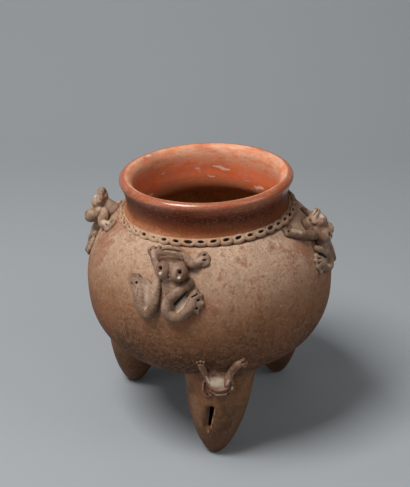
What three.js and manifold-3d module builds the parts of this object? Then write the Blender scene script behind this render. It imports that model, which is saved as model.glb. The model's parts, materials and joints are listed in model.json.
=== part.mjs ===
// Tripod rattle vase of fired clay, in millimetres and degrees, with +Z up.
// Three hollow feet hold loose clay pellets and carry a round bowl with a short collar neck,
// a pinched strip around the neck, four frogs on the shoulder and one frog on each foot.
// The origin is on the ground, at the middle of the vase's footprint.

import * as THREE from 'three';
import { mergeVertices } from 'three/addons/utils/BufferGeometryUtils.js';
import Module from 'manifold-3d';

const wasm = await Module();
wasm.setup();

// Bowl: heights on it are counted from its widest line
const BOWL_RADIUS = 85;
const BOWL_DEPTH = 60;
const BOWL_RISE = 60.4;
const BOWL_FULLNESS = 2.6;
const BOWL_DOME_POWER = 2;
const BOWL_WALL = 6;
const BOWL_OFF_GROUND = 49;
const BOWL_LEAN = -1.9;
const SHOULDER_HEIGHT = 46.3;

// Neck: it stands on the shoulder's upper edge
const NECK_SET_BACK = 2.3;
const NECK_WAIST_DRAW = 3.6;
const NECK_WAIST_HEIGHT = 8;
const NECK_HEIGHT = 27.8;
const NECK_WALL = 6.6;
const LIP_FLARE = 4.1;
const LIP_THICKNESS = 7.2;

// Pinched strip around the foot of the neck
const STRIP_HEIGHT = 5;
const STRIP_THICKNESS = 2.4;
const LINK_PITCH = 8.1;
const LINK_PINCH = 1;

// Feet: heights on them are counted from the ground
const FOOT_RADIUS = 22.8;
const FOOT_SWELL_HEIGHT = 56;
const FOOT_TIP_RADIUS = 3.5;
const FOOT_FULLNESS = 1.8;
const FOOT_TAPER = 0.72;
const FOOT_WALL = 5.5;
const FOOT_TIP_DEPTH = 7;
const FOOT_SPLAY = 6.4;
const FRONT_FOOT_SWAY = 3.6;
const FRONT_FOOT_INSET = 24.4;
const LEFT_FOOT_INSET = 20.2;
const RIGHT_FOOT_INSET = 18;
const SLIT_HEIGHT = 14.5;
const SLIT_WIDTH = 3.5;
const SLIT_MIDDLE = 39.5;
const SLIT_TURN = -20;
const SLIT_SLANT = 5;

// Rattle pellets, two side by side in each foot
const PELLET_DIAMETER = 8;

// Frogs on the shoulder and on the feet
const LIMB_THICKNESS = 8;
const ARM_THICKNESS = 6.4;
const PAW_WIDTH = 9;
const PAW_THICKNESS = 6;
const EYE_DIAMETER = 10.2;
const EYE_SPACING = 10.8;
const HIP_LINE = 25;
const FOOT_FROG_LIMB = 4.6;

// Clearance between two pieces that touch
const GAP = 0.3;

// How finely round shapes are stepped
const BOWL_SIDES = 40;
const FOOT_SIDES = 16;
const BAR_SIDES = 6;
const BALL_SIDES = 8;
const BALL_RINGS = 5;

const BOWL_MIDDLE = BOWL_OFF_GROUND + BOWL_DEPTH;

// Where each foot's tip stands, inset from the bowl's widest line, and how far its top sways sideways
const FEET = [
  { name: 'front', azimuth: 3.7, reach: BOWL_RADIUS - FRONT_FOOT_INSET, sideways: FRONT_FOOT_SWAY },
  { name: 'left', azimuth: -117, reach: BOWL_RADIUS - LEFT_FOOT_INSET, sideways: 0 },
  { name: 'right', azimuth: 128, reach: BOWL_RADIUS - RIGHT_FOOT_INSET, sideways: 0 },
];

// Where each shoulder frog sits. The head is moved [down, out] and the trunk by half as much.
// The rest are shares of the full reach of the left and right arms, and of the spread and the
// length of the hind legs. A mirrored frog has its left and right limbs changed over.
const SHOULDER_FROGS = [
  { name: 'front', azimuth: -18, mirrored: false, head: [0, 0], arms: [1, 1], spread: 1, stride: 1 },
  { name: 'right', azimuth: 75, mirrored: true, head: [1, 1], arms: [0.8, 1.2], spread: 0.7, stride: 0.7 },
  { name: 'back', azimuth: 162, mirrored: false, head: [0, 0], arms: [1, 1], spread: 0.85, stride: 0.85 },
  { name: 'left', azimuth: -99, mirrored: false, head: [-3, 4], arms: [0.6, 1.3], spread: 0.8, stride: 0.75 },
];

// A shoulder frog's body is made of balls: size [width, length, thickness], and place
// [sideways, down from the neck seat, out from the bowl]; the mouth is cut out of it
const FROG_TRUNK = { size: [14, 18, 10], place: [3.5, 25, 0.5] };
const FROG_HEAD = { size: [18, 17, 15], place: [2, 15, 6.5] };
const FROG_LOWER_JAW = { size: [16, 7, 10], place: [1, 6.4, 6.2] };
const FROG_UPPER_JAW = { size: [16, 8, 7], place: [2, 11, 11.4] };
const FROG_MOUTH = { size: [14.4, 2.6, 12], place: [1.5, 8, 13] };
const FROG_EYES_PLACE = [2, 18.6, 9];

// A shoulder frog's limb centre lines, in the same measures
const SHOULDER_ROUTES = {
  left_hindleg: [[-2.9, 27.3, 1.6], [-4, 35.7, 1.8], [-6.2, 43.8, 1.6], [-11.6, 49, 1.2],
    [-16.5, 45.2, 1.2], [-20.4, 37.5, 1], [-24.2, 30.1, 0.8]],
  right_hindleg: [[13.4, 24.8, 1.2], [8, 29.7, 1.8], [1.8, 36.1, 2], [1.6, 43.4, 1.6],
    [5.6, 47.6, 1.4], [11.4, 47, 1.2], [16.7, 42.2, 1.2], [19.9, 35.7, 1], [21.8, 31.5, 0.8]],
  left_foreleg: [[-5, 17.5, 2.2], [-8.6, 14.6, 2], [-11.6, 10.8, 1.6], [-13.6, 8.2, 1]],
  right_foreleg: [[5.5, 12.5, 2.2], [9, 12.4, 2.2], [13.4, 13.4, 2], [17, 12, 1.6], [19.9, 10.6, 1]],
};

// A foot frog's balls and limb centre lines: a place on the foot is [sideways, up from where
// the foot's face meets the bowl, out from the clay]
const FOOT_FROG_HEAD = { size: [17, 16, 7], place: [0.5, -9, 0.8] };
const FOOT_FROG_JAW = { size: [14, 8, 5], place: [1, -16, 0.6] };
const FOOT_FROG_MOUTH = { size: [15, 1.8, 6], place: [0.8, -14.4, 4] };
const FOOT_FROG_ROUTES = {
  left_hindleg: [[-5, -7, 1.6], [-6.8, -3, 2], [-8.9, 0.6, 1.6], [-10.6, 4, 0.8]],
  right_hindleg: [[6, -7, 1.6], [8.6, -3, 2], [12, 1.6, 1.6], [15.6, 6, 0.8]],
  left_foreleg: [[-7.4, -8.6, 0.8], [-8.8, -12, 1.4], [-9, -16, 1.4], [-7.6, -19.8, 0.6]],
  right_foreleg: [[8.6, -7.6, 0.8], [11, -11, 1.4], [10.8, -14.6, 1.4], [8.2, -18.4, 0.6]],
};

const CLAY = new THREE.MeshStandardMaterial({ color: 0xa07c62, roughness: 0.85, metalness: 0 });
const SLIP = new THREE.MeshStandardMaterial({ color: 0x9a4c2e, roughness: 0.45, metalness: 0 });
const STRIP_CLAY = new THREE.MeshStandardMaterial({ color: 0xa98a6c, roughness: 0.85, metalness: 0 });
const FOOT_CLAY = new THREE.MeshStandardMaterial({ color: 0x7d5038, roughness: 0.8, metalness: 0 });
const FROG_CLAY = new THREE.MeshStandardMaterial({ color: 0x8f7766, roughness: 0.85, metalness: 0 });
const PELLET_CLAY = new THREE.MeshStandardMaterial({ color: 0x8a5a40, roughness: 0.9, metalness: 0 });

const radians = THREE.MathUtils.degToRad;

// Volume inside a closed indexed mesh; it is negative where the faces point inwards
function signedVolume(geometry) {
  const index = geometry.index.array;
  const points = geometry.attributes.position;
  const a = new THREE.Vector3();
  const b = new THREE.Vector3();
  const c = new THREE.Vector3();
  let volume = 0;
  for (let i = 0; i < index.length; i += 3) {
    a.fromBufferAttribute(points, index[i]);
    b.fromBufferAttribute(points, index[i + 1]);
    c.fromBufferAttribute(points, index[i + 2]);
    volume += a.dot(b.cross(c)) / 6;
  }
  return volume;
}

// A closed mesh with shared corners, no empty faces, and its faces pointing out
function closed(geometry) {
  const bare = geometry.clone();
  bare.deleteAttribute('normal');
  bare.deleteAttribute('uv');
  const merged = mergeVertices(bare, 1e-3);
  const corners = merged.index.array;
  const kept = [];
  for (let i = 0; i < corners.length; i += 3) {
    const [a, b, c] = [corners[i], corners[i + 1], corners[i + 2]];
    if (a !== b && b !== c && c !== a) {
      kept.push(a, b, c);
    }
  }
  merged.setIndex(kept);
  if (signedVolume(merged) < 0) {
    merged.setIndex(kept.reverse());
  }
  return merged;
}

function solid(geometry) {
  const body = closed(geometry);
  return new wasm.Manifold(new wasm.Mesh({
    numProp: 3,
    vertProperties: new Float32Array(body.attributes.position.array),
    triVerts: new Uint32Array(body.index.array),
  }));
}

function piece(name, shape, material) {
  const body = shape.getMesh();
  const geometry = new THREE.BufferGeometry();
  geometry.setAttribute('position', new THREE.BufferAttribute(body.vertProperties, 3));
  geometry.setIndex(new THREE.BufferAttribute(body.triVerts, 1));
  geometry.computeVertexNormals();
  const mesh = new THREE.Mesh(geometry, material);
  mesh.name = name;
  return mesh;
}

// A shape of revolution about +Z from [radius, height] points
function turned(profile, sides) {
  const points = profile.map(([radius, height]) => new THREE.Vector2(radius, height));
  return new THREE.LatheGeometry(points, sides).rotateX(Math.PI / 2);
}

// A round bar along a centre line
function bar(points, diameter) {
  const line = new THREE.CatmullRomCurve3(points);
  const section = new THREE.Shape().absarc(0, 0, diameter / 2, 0, 2 * Math.PI);
  return new THREE.ExtrudeGeometry(section, {
    extrudePath: line, steps: points.length, curveSegments: BAR_SIDES / 2, bevelEnabled: false,
  });
}

// A ball stretched to [width, length, thickness], grown all round and set in place by a matrix
function blob(size, grow, place) {
  const ball = new THREE.SphereGeometry(0.5, BALL_SIDES, BALL_RINGS);
  return solid(ball.scale(...size.map((length) => length + 2 * grow)).applyMatrix4(place));
}

// Bowl surface: radius at a height from the widest line, grown outwards by an amount
function bowlRadius(height, grow) {
  const reach = (height < 0 ? BOWL_DEPTH : BOWL_RISE) + grow;
  const power = height < 0 ? BOWL_FULLNESS : BOWL_DOME_POWER;
  const share = Math.min(Math.abs(height) / reach, 1);
  return (BOWL_RADIUS + grow) * (1 - share ** power) ** (1 / BOWL_FULLNESS);
}

// Outline points of the bowl from the bottom up to a height
function bowlOutline(grow, top) {
  const depth = BOWL_DEPTH + grow;
  const shares = [1, 0.98, 0.92, 0.8, 0.62, 0.35, 0];
  const lower = shares.map((share) => [bowlRadius(-depth * share, grow), -depth * share]);
  const upper = [0.32, 0.56, 0.74, 0.88, 1].map(
    (share) => [bowlRadius(top * share, grow), top * share]);
  return [...lower, ...upper];
}

const seatRadius = bowlRadius(SHOULDER_HEIGHT, 0);
const neckFootRadius = seatRadius - NECK_SET_BACK;
const waistRadius = neckFootRadius - NECK_WAIST_DRAW;
const lipRadius = waistRadius + LIP_FLARE;
const mouthRadius = neckFootRadius - NECK_WALL;

function makeBowl() {
  const outside = bowlOutline(0, SHOULDER_HEIGHT);
  const insideTop = SHOULDER_HEIGHT - BOWL_WALL / 2;
  const inside = bowlOutline(-BOWL_WALL, insideTop).reverse().filter(([, height]) => height < insideTop);
  const profile = [...outside, [mouthRadius, SHOULDER_HEIGHT], [mouthRadius, insideTop], ...inside];
  return solid(turned(profile, BOWL_SIDES));
}

// The bowl's filled outer shape with a clearance, which its neighbours are cut by
function bowlCutter(place) {
  const top = SHOULDER_HEIGHT + GAP;
  const outline = bowlOutline(GAP, SHOULDER_HEIGHT);
  const profile = [...outline, [outline.at(-1)[0], top], [0, top]];
  return solid(turned(profile, BOWL_SIDES).applyMatrix4(place));
}

// Neck outline: radius at a height above its seat, from the foot through the waist
function neckRadius(height) {
  const share = Math.min(height / NECK_WAIST_HEIGHT, 1);
  return neckFootRadius - NECK_WAIST_DRAW * Math.sin(share * Math.PI / 2);
}

// Neck profile with a clearance added all round
function neckProfile(grow) {
  const lipRound = LIP_THICKNESS / 2;
  const lipMiddle = NECK_HEIGHT - lipRound;
  const rise = lipMiddle - NECK_WAIST_HEIGHT;
  const foot = [0, 0.5, 1].map((share) => {
    const height = GAP + share * (NECK_WAIST_HEIGHT - GAP);
    return [neckRadius(height) + grow, height];
  });
  const flare = [0.35, 0.7].map((share) => {
    const radius = waistRadius + LIP_FLARE * share ** 2;
    return [radius + grow, NECK_WAIST_HEIGHT + rise * share];
  });
  const lip = [0, 45, 90, 135, 180].map((turn) => [
    lipRadius - lipRound + (lipRound + grow) * Math.cos(radians(turn)),
    lipMiddle + (lipRound + grow) * Math.sin(radians(turn)),
  ]);
  const throat = [
    [waistRadius - NECK_WALL - grow, NECK_WAIST_HEIGHT + rise / 2],
    [mouthRadius - grow, GAP],
  ];
  return [...foot, ...flare, ...lip, ...throat];
}

function makeNeck() {
  const profile = neckProfile(0);
  return solid(turned([...profile, profile[0]], BOWL_SIDES));
}

// The strip's section stands on the bowl's edge with its back against the neck
function stripProfile(grow, pinch) {
  const middle = GAP + STRIP_HEIGHT / 2;
  const foot = GAP - grow;
  const top = GAP + STRIP_HEIGHT - pinch + grow;
  const back = GAP - grow;
  const outer = neckRadius(0) + GAP + STRIP_THICKNESS - pinch + grow;
  return [
    [neckRadius(0) + back, foot],
    [outer - pinch / 2, foot],
    [outer, middle],
    [outer - STRIP_THICKNESS / 2, top],
    [neckRadius(top) + back, top],
  ];
}

function makeStrip() {
  const links = Math.round(2 * Math.PI * (neckFootRadius + STRIP_THICKNESS) / LINK_PITCH);
  const full = stripProfile(0, 0);
  const geometry = turned([...full, full[0]], 2 * links);
  const waist = stripProfile(0, LINK_PINCH);
  const points = geometry.attributes.position;
  const rows = full.length + 1;
  for (let i = 0; i < points.count; i += 1) {
    const station = Math.floor(i / rows);
    if (station % 2 === 1) {
      const [radius, height] = waist[(i % rows) % full.length];
      const turn = Math.atan2(points.getY(i), points.getX(i));
      points.setXYZ(i, radius * Math.cos(turn), radius * Math.sin(turn), height);
    }
  }
  return solid(geometry);
}

// The strip and the neck as filled shapes with a clearance, which the frogs are cut by
function collarCutter() {
  const shapes = [stripProfile(GAP, 0), neckProfile(GAP)].map((profile) => {
    const shape = turned([...profile, profile[0]], BOWL_SIDES);
    return solid(shape.translate(0, 0, SHOULDER_HEIGHT));
  });
  return shapes[0].add(shapes[1]);
}

// Surface distance down from the neck seat, stepped along the bowl's outline
const MERIDIAN_STEPS = 240;
const meridian = (() => {
  const rows = [{ down: 0, height: SHOULDER_HEIGHT, radius: seatRadius }];
  for (let i = 1; i <= MERIDIAN_STEPS; i += 1) {
    const height = SHOULDER_HEIGHT - (SHOULDER_HEIGHT + BOWL_DEPTH / 2) * (i / MERIDIAN_STEPS);
    const radius = bowlRadius(height, 0);
    const last = rows.at(-1);
    const down = last.down + Math.hypot(last.height - height, radius - last.radius);
    rows.push({ down, height, radius });
  }
  return rows;
})();

// Place on the shoulder of a frog that faces -Y: X runs sideways, Y up the slope and Z outwards
function onShoulder(sideways, down, out) {
  const found = meridian.findIndex((row) => row.down >= down);
  const next = Math.max(1, found);
  const [above, below] = [meridian[next - 1], meridian[next]];
  const share = (down - above.down) / (below.down - above.down);
  const radius = THREE.MathUtils.lerp(above.radius, below.radius, share);
  const height = THREE.MathUtils.lerp(above.height, below.height, share);
  const azimuth = sideways / radius;
  const outward = new THREE.Vector3(Math.sin(azimuth), -Math.cos(azimuth), 0);
  const across = new THREE.Vector3(Math.cos(azimuth), Math.sin(azimuth), 0);
  const upslope = outward.clone().multiplyScalar(above.radius - below.radius);
  upslope.z = above.height - below.height;
  upslope.normalize();
  const normal = across.clone().cross(upslope);
  const place = new THREE.Matrix4().makeBasis(across, upslope, normal);
  const point = outward.multiplyScalar(radius).addScaledVector(normal, out);
  point.z += height;
  return place.setPosition(point);
}

function pointOf(place) {
  return new THREE.Vector3().setFromMatrixPosition(place);
}

// The paw is a flattened ball at the end of a limb
function limb(places, diameter, grow) {
  const route = bar(places.map(pointOf), diameter + 2 * grow);
  const paw = blob([PAW_WIDTH, PAW_WIDTH, PAW_THICKNESS], grow, places.at(-1));
  return solid(route).add(paw);
}

// A limb's or an eye's name, changed over on a mirrored frog
function sided(name, mirrored) {
  const [side, part] = name.split('_');
  const other = side === 'left' ? 'right' : 'left';
  return `${mirrored ? other : side}_${part}`;
}

// A frog's parts in the order in which they are laid on, each as a function of its clearance
function shoulderFrogParts({ mirrored, head, arms, spread, stride }) {
  const at = (sideways, down, out) => onShoulder(mirrored ? -sideways : sideways, down, out);
  const moved = ([sideways, down, out], share) => at(sideways, down + share * head[0], out + share * head[1]);
  const shapes = {
    body: (grow) => {
      const trunk = blob(FROG_TRUNK.size, grow, moved(FROG_TRUNK.place, 0.5));
      const lumps = [FROG_HEAD, FROG_LOWER_JAW, FROG_UPPER_JAW].map(
        ({ size, place }) => blob(size, grow, moved(place, 1)));
      const whole = lumps.reduce((joined, lump) => joined.add(lump), trunk);
      return grow > 0 ? whole : whole.subtract(blob(FROG_MOUTH.size, 0, moved(FROG_MOUTH.place, 1)));
    },
  };
  for (const [side, sign] of [['left', -1], ['right', 1]]) {
    const [middle, down, out] = FROG_EYES_PLACE;
    const place = moved([middle + sign * EYE_SPACING / 2, down, out], 1);
    shapes[sided(`${side}_eye`, mirrored)] = (grow) => (
      blob([EYE_DIAMETER, EYE_DIAMETER, EYE_DIAMETER], grow, place));
  }
  for (const [name, route] of Object.entries(SHOULDER_ROUTES)) {
    const isArm = name.endsWith('foreleg');
    const reach = arms[name.startsWith('left') ? 0 : 1];
    const places = route.map(([sideways, down, out]) => (isArm
      ? at(reach * sideways, down, out)
      : at(spread * sideways, HIP_LINE + stride * (down - HIP_LINE), out)));
    const thickness = isArm ? ARM_THICKNESS : LIMB_THICKNESS;
    shapes[sided(name, mirrored)] = (grow) => limb(places, thickness, grow);
  }
  return shapes;
}

// Lays parts on one after another, each cut clear of what is already there
function layOn(shapes, owner, ground, material) {
  const group = new THREE.Group();
  let taken = ground;
  for (const [part, shape] of Object.entries(shapes)) {
    group.add(piece(`${owner}_${part}`, shape(0).subtract(taken), material));
    taken = taken.add(shape(GAP));
  }
  return group;
}

function makeShoulderFrog(place) {
  const back = new THREE.Matrix4().makeRotationZ(-radians(place.azimuth));
  const ground = bowlCutter(back).add(collarCutter());
  const frog = layOn(shoulderFrogParts(place), `${place.name}_frog`, ground, FROG_CLAY);
  frog.rotation.z = radians(place.azimuth);
  return frog;
}

// Foot outline: radius at a height, of a shell that starts at a floor
function footRadius(height, radius, floor) {
  const share = THREE.MathUtils.clamp((height - floor) / (FOOT_SWELL_HEIGHT - floor), 0, 1);
  const swell = (1 - (1 - share) ** FOOT_FULLNESS) ** FOOT_TAPER;
  return FOOT_TIP_RADIUS + (radius - FOOT_TIP_RADIUS) * swell;
}

// A foot stands at its reach on -Y, with its top drawn in and sideways
function footShear(foot) {
  const shear = new THREE.Matrix4();
  shear.elements[8] = foot.sideways / FOOT_SWELL_HEIGHT;
  shear.elements[9] = FOOT_SPLAY / FOOT_SWELL_HEIGHT;
  return shear.setPosition(0, -foot.reach, 0);
}

function footShell(radius, floor, foot) {
  const rise = FOOT_SWELL_HEIGHT - floor;
  const heights = [0, 0.04, 0.12, 0.25, 0.42, 0.66, 1].map((share) => floor + rise * share);
  const profile = heights.map((height) => [footRadius(height, radius, floor), height]);
  profile.push([radius, BOWL_MIDDLE], [0, BOWL_MIDDLE]);
  return turned([[0, floor], ...profile], FOOT_SIDES).applyMatrix4(footShear(foot));
}

// The slit is a slot with round ends, cut outwards from the chamber
function slitCutter(foot) {
  const slot = new THREE.Shape();
  const half = SLIT_WIDTH / 2;
  const straight = (SLIT_HEIGHT - SLIT_WIDTH) / 2;
  slot.absarc(0, straight, half, 0, Math.PI);
  slot.absarc(0, -straight, half, Math.PI, 2 * Math.PI);
  const depth = FOOT_RADIUS + FOOT_WALL;
  const cut = new THREE.ExtrudeGeometry(slot, { depth, curveSegments: 4, bevelEnabled: false });
  const place = new THREE.Matrix4().makeRotationZ(radians(SLIT_TURN));
  place.multiply(new THREE.Matrix4().makeRotationX(Math.PI / 2));
  place.multiply(new THREE.Matrix4().makeRotationZ(radians(-SLIT_SLANT)));
  place.premultiply(new THREE.Matrix4().makeTranslation(0, 0, SLIT_MIDDLE));
  return solid(cut.applyMatrix4(place).applyMatrix4(footShear(foot)));
}

// How far a pellet's middle stays clear of the chamber's wall, at a height and a distance off its axis
function chamberClearance(height, offset) {
  let least = Infinity;
  for (let z = FOOT_TIP_DEPTH; z <= FOOT_SWELL_HEIGHT; z += 0.25) {
    const radius = footRadius(z, FOOT_RADIUS - FOOT_WALL, FOOT_TIP_DEPTH);
    least = Math.min(least, Math.hypot(radius - offset, height - z));
  }
  return least;
}

// Pellets lie side by side, as low in the chamber as their clearance lets them
function makePellets(foot) {
  const radius = PELLET_DIAMETER / 2;
  const offset = radius + GAP / 2;
  const side = Math.cos(Math.PI / FOOT_SIDES);
  let height = FOOT_TIP_DEPTH + radius;
  while (chamberClearance(height, offset) * side < radius + GAP && height < BOWL_OFF_GROUND - radius) {
    height += 0.1;
  }
  const shear = footShear(foot);
  return ['left', 'right'].map((name, i) => {
    const ball = solid(new THREE.IcosahedronGeometry(radius, 1));
    const mesh = piece(`${foot.name}_foot_${name}_pellet`, ball, PELLET_CLAY);
    mesh.position.set(i === 0 ? -offset : offset, 0, height).applyMatrix4(shear);
    return mesh;
  });
}

// How far out the foot's face and the bowl's lie, at a height and a distance sideways
function faceReach(sideways, height, foot) {
  const axis = new THREE.Vector3(0, 0, height).applyMatrix4(footShear(foot));
  const chord = (radius, off) => Math.sqrt(Math.max(radius * radius - off * off, 0));
  return {
    onFoot: -axis.y + chord(footRadius(height, FOOT_RADIUS, 0), sideways - axis.x),
    onBowl: chord(bowlRadius(height - BOWL_MIDDLE, 0), sideways),
  };
}

// Height at which the foot's face runs into the bowl, on the foot's front line
function junctionHeight(foot) {
  let height = BOWL_OFF_GROUND;
  let reach = faceReach(0, height, foot);
  while (reach.onFoot > reach.onBowl && height < BOWL_MIDDLE) {
    height += 0.25;
    reach = faceReach(0, height, foot);
  }
  return height;
}

// Place of a foot frog's point, on whichever of the two faces lies further out
function onFootFace(sideways, up, out, foot) {
  const height = junctionHeight(foot) + up;
  const { onFoot, onBowl } = faceReach(sideways, height, foot);
  const place = new THREE.Matrix4().makeRotationX(Math.PI / 2);
  return place.setPosition(sideways, -Math.max(onFoot, onBowl) - out, height);
}

function footFrogParts(foot) {
  const at = (sideways, up, out) => onFootFace(sideways, up, out, foot);
  const shapes = {
    body: (grow) => {
      const [head, jaw] = [FOOT_FROG_HEAD, FOOT_FROG_JAW].map(
        ({ size, place }) => blob(size, grow, at(...place)));
      const whole = head.add(jaw);
      return grow > 0 ? whole : whole.subtract(blob(FOOT_FROG_MOUTH.size, 0, at(...FOOT_FROG_MOUTH.place)));
    },
  };
  for (const [name, route] of Object.entries(FOOT_FROG_ROUTES)) {
    shapes[name] = (grow) => solid(bar(route.map((row) => pointOf(at(...row))), FOOT_FROG_LIMB + 2 * grow));
  }
  return shapes;
}

function makeFoot(foot, shellPlace) {
  const group = new THREE.Group();
  group.rotation.z = radians(foot.azimuth);
  group.updateMatrix();
  const bowl = bowlCutter(group.matrix.clone().invert().multiply(shellPlace));
  const outside = solid(footShell(FOOT_RADIUS, 0, foot));
  const chamber = solid(footShell(FOOT_RADIUS - FOOT_WALL, FOOT_TIP_DEPTH, foot));
  const shell = outside.subtract(chamber).subtract(slitCutter(foot)).subtract(bowl);
  group.add(piece(`${foot.name}_foot`, shell, FOOT_CLAY));
  group.add(...makePellets(foot));
  const skin = solid(footShell(FOOT_RADIUS + GAP, -GAP, foot));
  group.add(layOn(footFrogParts(foot), `${foot.name}_foot_frog`, bowl.add(skin), FROG_CLAY));
  return group;
}

function makeVase() {
  const vase = new THREE.Group();
  const upper = new THREE.Group();
  upper.position.z = BOWL_MIDDLE;
  upper.rotation.y = radians(BOWL_LEAN);
  upper.updateMatrix();
  upper.add(piece('bowl', makeBowl(), CLAY));
  const collar = new THREE.Group();
  collar.position.z = SHOULDER_HEIGHT;
  collar.add(piece('neck', makeNeck(), SLIP));
  collar.add(piece('neck_strip', makeStrip(), STRIP_CLAY));
  upper.add(collar);
  upper.add(...SHOULDER_FROGS.map(makeShoulderFrog));
  vase.add(upper);
  vase.add(...FEET.map((foot) => makeFoot(foot, upper.matrix)));
  return vase;
}

const vase = makeVase();
vase.updateMatrixWorld(true);
const footprint = new THREE.Box3().setFromObject(vase).getCenter(new THREE.Vector3());
vase.position.set(-footprint.x, -footprint.y, 0);

export default vase;
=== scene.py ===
"""Rattle vase of fired clay: a round bowl on hollow pointed feet, with frogs pressed onto it.

Shapes are worked out in millimetres in three frames: the bowl's own, which leans a little, the
frame of a foot, which looks out from the vase's axis, and the part's frame. Meshes are in metres.
"""

from __future__ import annotations

import json
import logging
import math
from dataclasses import dataclass, field
from enum import Enum
from typing import Callable, Sequence

import bmesh
import bpy
import numpy as np
from bpy.types import ID, Material, Mesh, Node, NodeSocket, NodeTree, Object
from mathutils import Matrix, Vector


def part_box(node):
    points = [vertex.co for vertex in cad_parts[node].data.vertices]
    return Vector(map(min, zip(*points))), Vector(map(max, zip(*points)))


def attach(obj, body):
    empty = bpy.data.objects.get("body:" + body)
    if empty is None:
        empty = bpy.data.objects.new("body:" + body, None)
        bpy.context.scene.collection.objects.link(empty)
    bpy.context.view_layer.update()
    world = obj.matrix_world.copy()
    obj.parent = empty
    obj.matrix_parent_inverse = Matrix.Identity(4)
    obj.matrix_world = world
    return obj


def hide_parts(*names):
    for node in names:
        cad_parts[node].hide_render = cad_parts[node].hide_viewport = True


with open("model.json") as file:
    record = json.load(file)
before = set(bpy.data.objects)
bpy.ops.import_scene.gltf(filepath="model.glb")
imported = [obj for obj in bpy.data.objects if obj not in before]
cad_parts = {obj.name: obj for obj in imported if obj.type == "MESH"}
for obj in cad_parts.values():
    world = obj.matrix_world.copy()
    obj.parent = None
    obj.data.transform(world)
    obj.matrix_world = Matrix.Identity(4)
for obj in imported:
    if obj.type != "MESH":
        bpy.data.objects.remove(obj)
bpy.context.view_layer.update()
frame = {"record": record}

MM = 0.001
VASE = "vase"
log = logging.getLogger("rattle_vase")

Points = np.ndarray
Field = Callable[[Points], np.ndarray]


# Node trees


def math_method(operation: str, reflected: bool = False) -> Callable:
    """Makes an operator of Value.

    Args:
        operation: the Math node's operation.
        reflected: whether the other operand comes first.

    Returns:
        A method that adds the Math node.
    """

    def method(self: Value, other: Value | float) -> Value:
        """Adds the Math node and returns its result."""
        return self.nodes.math(operation, *((other, self) if reflected else (self, other)))

    return method


class Value:
    """A number socket of a node tree, on which Python's operators add Math nodes."""

    def __init__(self, nodes: Nodes, socket: NodeSocket) -> None:
        """Wraps an output socket that carries a number."""
        self.nodes = nodes
        self.socket = socket

    __add__ = __radd__ = math_method("ADD")
    __mul__ = __rmul__ = math_method("MULTIPLY")
    __sub__ = math_method("SUBTRACT")
    __rsub__ = math_method("SUBTRACT", reflected=True)
    __truediv__ = math_method("DIVIDE")
    __rtruediv__ = math_method("DIVIDE", reflected=True)
    __pow__ = math_method("POWER")
    __rpow__ = math_method("POWER", reflected=True)

    def floor(self) -> Value:
        """Whole part."""
        return self.nodes.math("FLOOR", self)

    def between(self, low: float, high: float) -> Value:
        """Maps low to 0 and high to 1, smoothly and without leaving that range.

        Args:
            low: what becomes 0.
            high: what becomes 1.

        Returns:
            The node's result.
        """
        node = self.nodes.add(
            "ShaderNodeMapRange", {"interpolation_type": "SMOOTHSTEP"},
            {"Value": self, "From Min": low, "From Max": high},
        )
        return Value(self.nodes, node.outputs["Result"])


class Nodes:
    """Adds nodes to one shader or geometry tree."""

    def __init__(self, tree: NodeTree) -> None:
        """Keeps the tree."""
        self.tree = tree

    def add(self, kind: str, settings: dict | None = None, inputs: dict | None = None) -> Node:
        """Adds a node, makes its settings first and then fills its sockets.

        Args:
            kind: the node's type.
            settings: property names and values.
            inputs: socket names or indexes, each with a constant, a Value, a socket, or a node
                whose first output is linked.

        Returns:
            The new node.
        """
        node = self.tree.nodes.new(kind)
        for name, value in (settings or {}).items():
            setattr(node, name, value)
        for name, value in (inputs or {}).items():
            if isinstance(value, Value):
                value = value.socket
            elif isinstance(value, Node):
                value = value.outputs[0]
            if isinstance(value, NodeSocket):
                self.tree.links.new(value, node.inputs[name])
            else:
                node.inputs[name].default_value = value
        return node

    def number(self, kind: str, settings: dict | None = None, inputs: dict | None = None) -> Value:
        """Adds a node as `add` does and returns its first output, a number."""
        return Value(self, self.add(kind, settings, inputs).outputs[0])

    def math(self, operation: str, *operands: Value | float) -> Value:
        """Adds a Math node and returns its result."""
        return self.number("ShaderNodeMath", {"operation": operation}, dict(enumerate(operands)))

    def noise(
        self, vector: Node | NodeSocket, scale: float | Value, detail: float, seed: float | Value
    ) -> Value:
        """Adds seeded noise and returns it as a number about 0.5.

        Args:
            vector: where the noise is taken.
            scale: how fine it is.
            detail: how many finer layers it has.
            seed: picks the pattern.

        Returns:
            The noise.
        """
        return self.number(
            "ShaderNodeTexNoise", {"noise_dimensions": "4D"},
            {"Vector": vector, "W": seed, "Scale": scale, "Detail": detail},
        )

    def attribute(self, name: str) -> Value:
        """A number stored on the mesh, or 0 where the mesh has none."""
        node = self.add("ShaderNodeAttribute", {"attribute_name": name})
        return Value(self, node.outputs["Fac"])

    def split(self, vector: NodeSocket | Node) -> list[Value]:
        """A vector's three numbers."""
        node = self.add("ShaderNodeSeparateXYZ", {}, {"Vector": vector})
        return [Value(self, socket) for socket in node.outputs]

    def blend(self, share: Value, first: tuple | NodeSocket, second: tuple) -> NodeSocket:
        """Mixes two colours.

        Args:
            share: how much of the second colour shows.
            first: screen colour or socket that shows where the share is 0.
            second: screen colour that shows where it is 1.

        Returns:
            The mixed colour's socket.
        """
        first = colour(*first) if isinstance(first, tuple) else first
        sides = {"Factor": share, 6: first, 7: colour(*second)}
        return self.add("ShaderNodeMix", {"data_type": "RGBA"}, sides).outputs[2]


# Finishes


def colour(red: int, green: int, blue: int) -> tuple[float, float, float, float]:
    """Turns a screen colour, 0 to 255 a channel, into the linear colour that Blender takes."""
    return (*(((c / 255 + 0.055) / 1.055) ** 2.4 for c in (red, green, blue)), 1.0)


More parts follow.
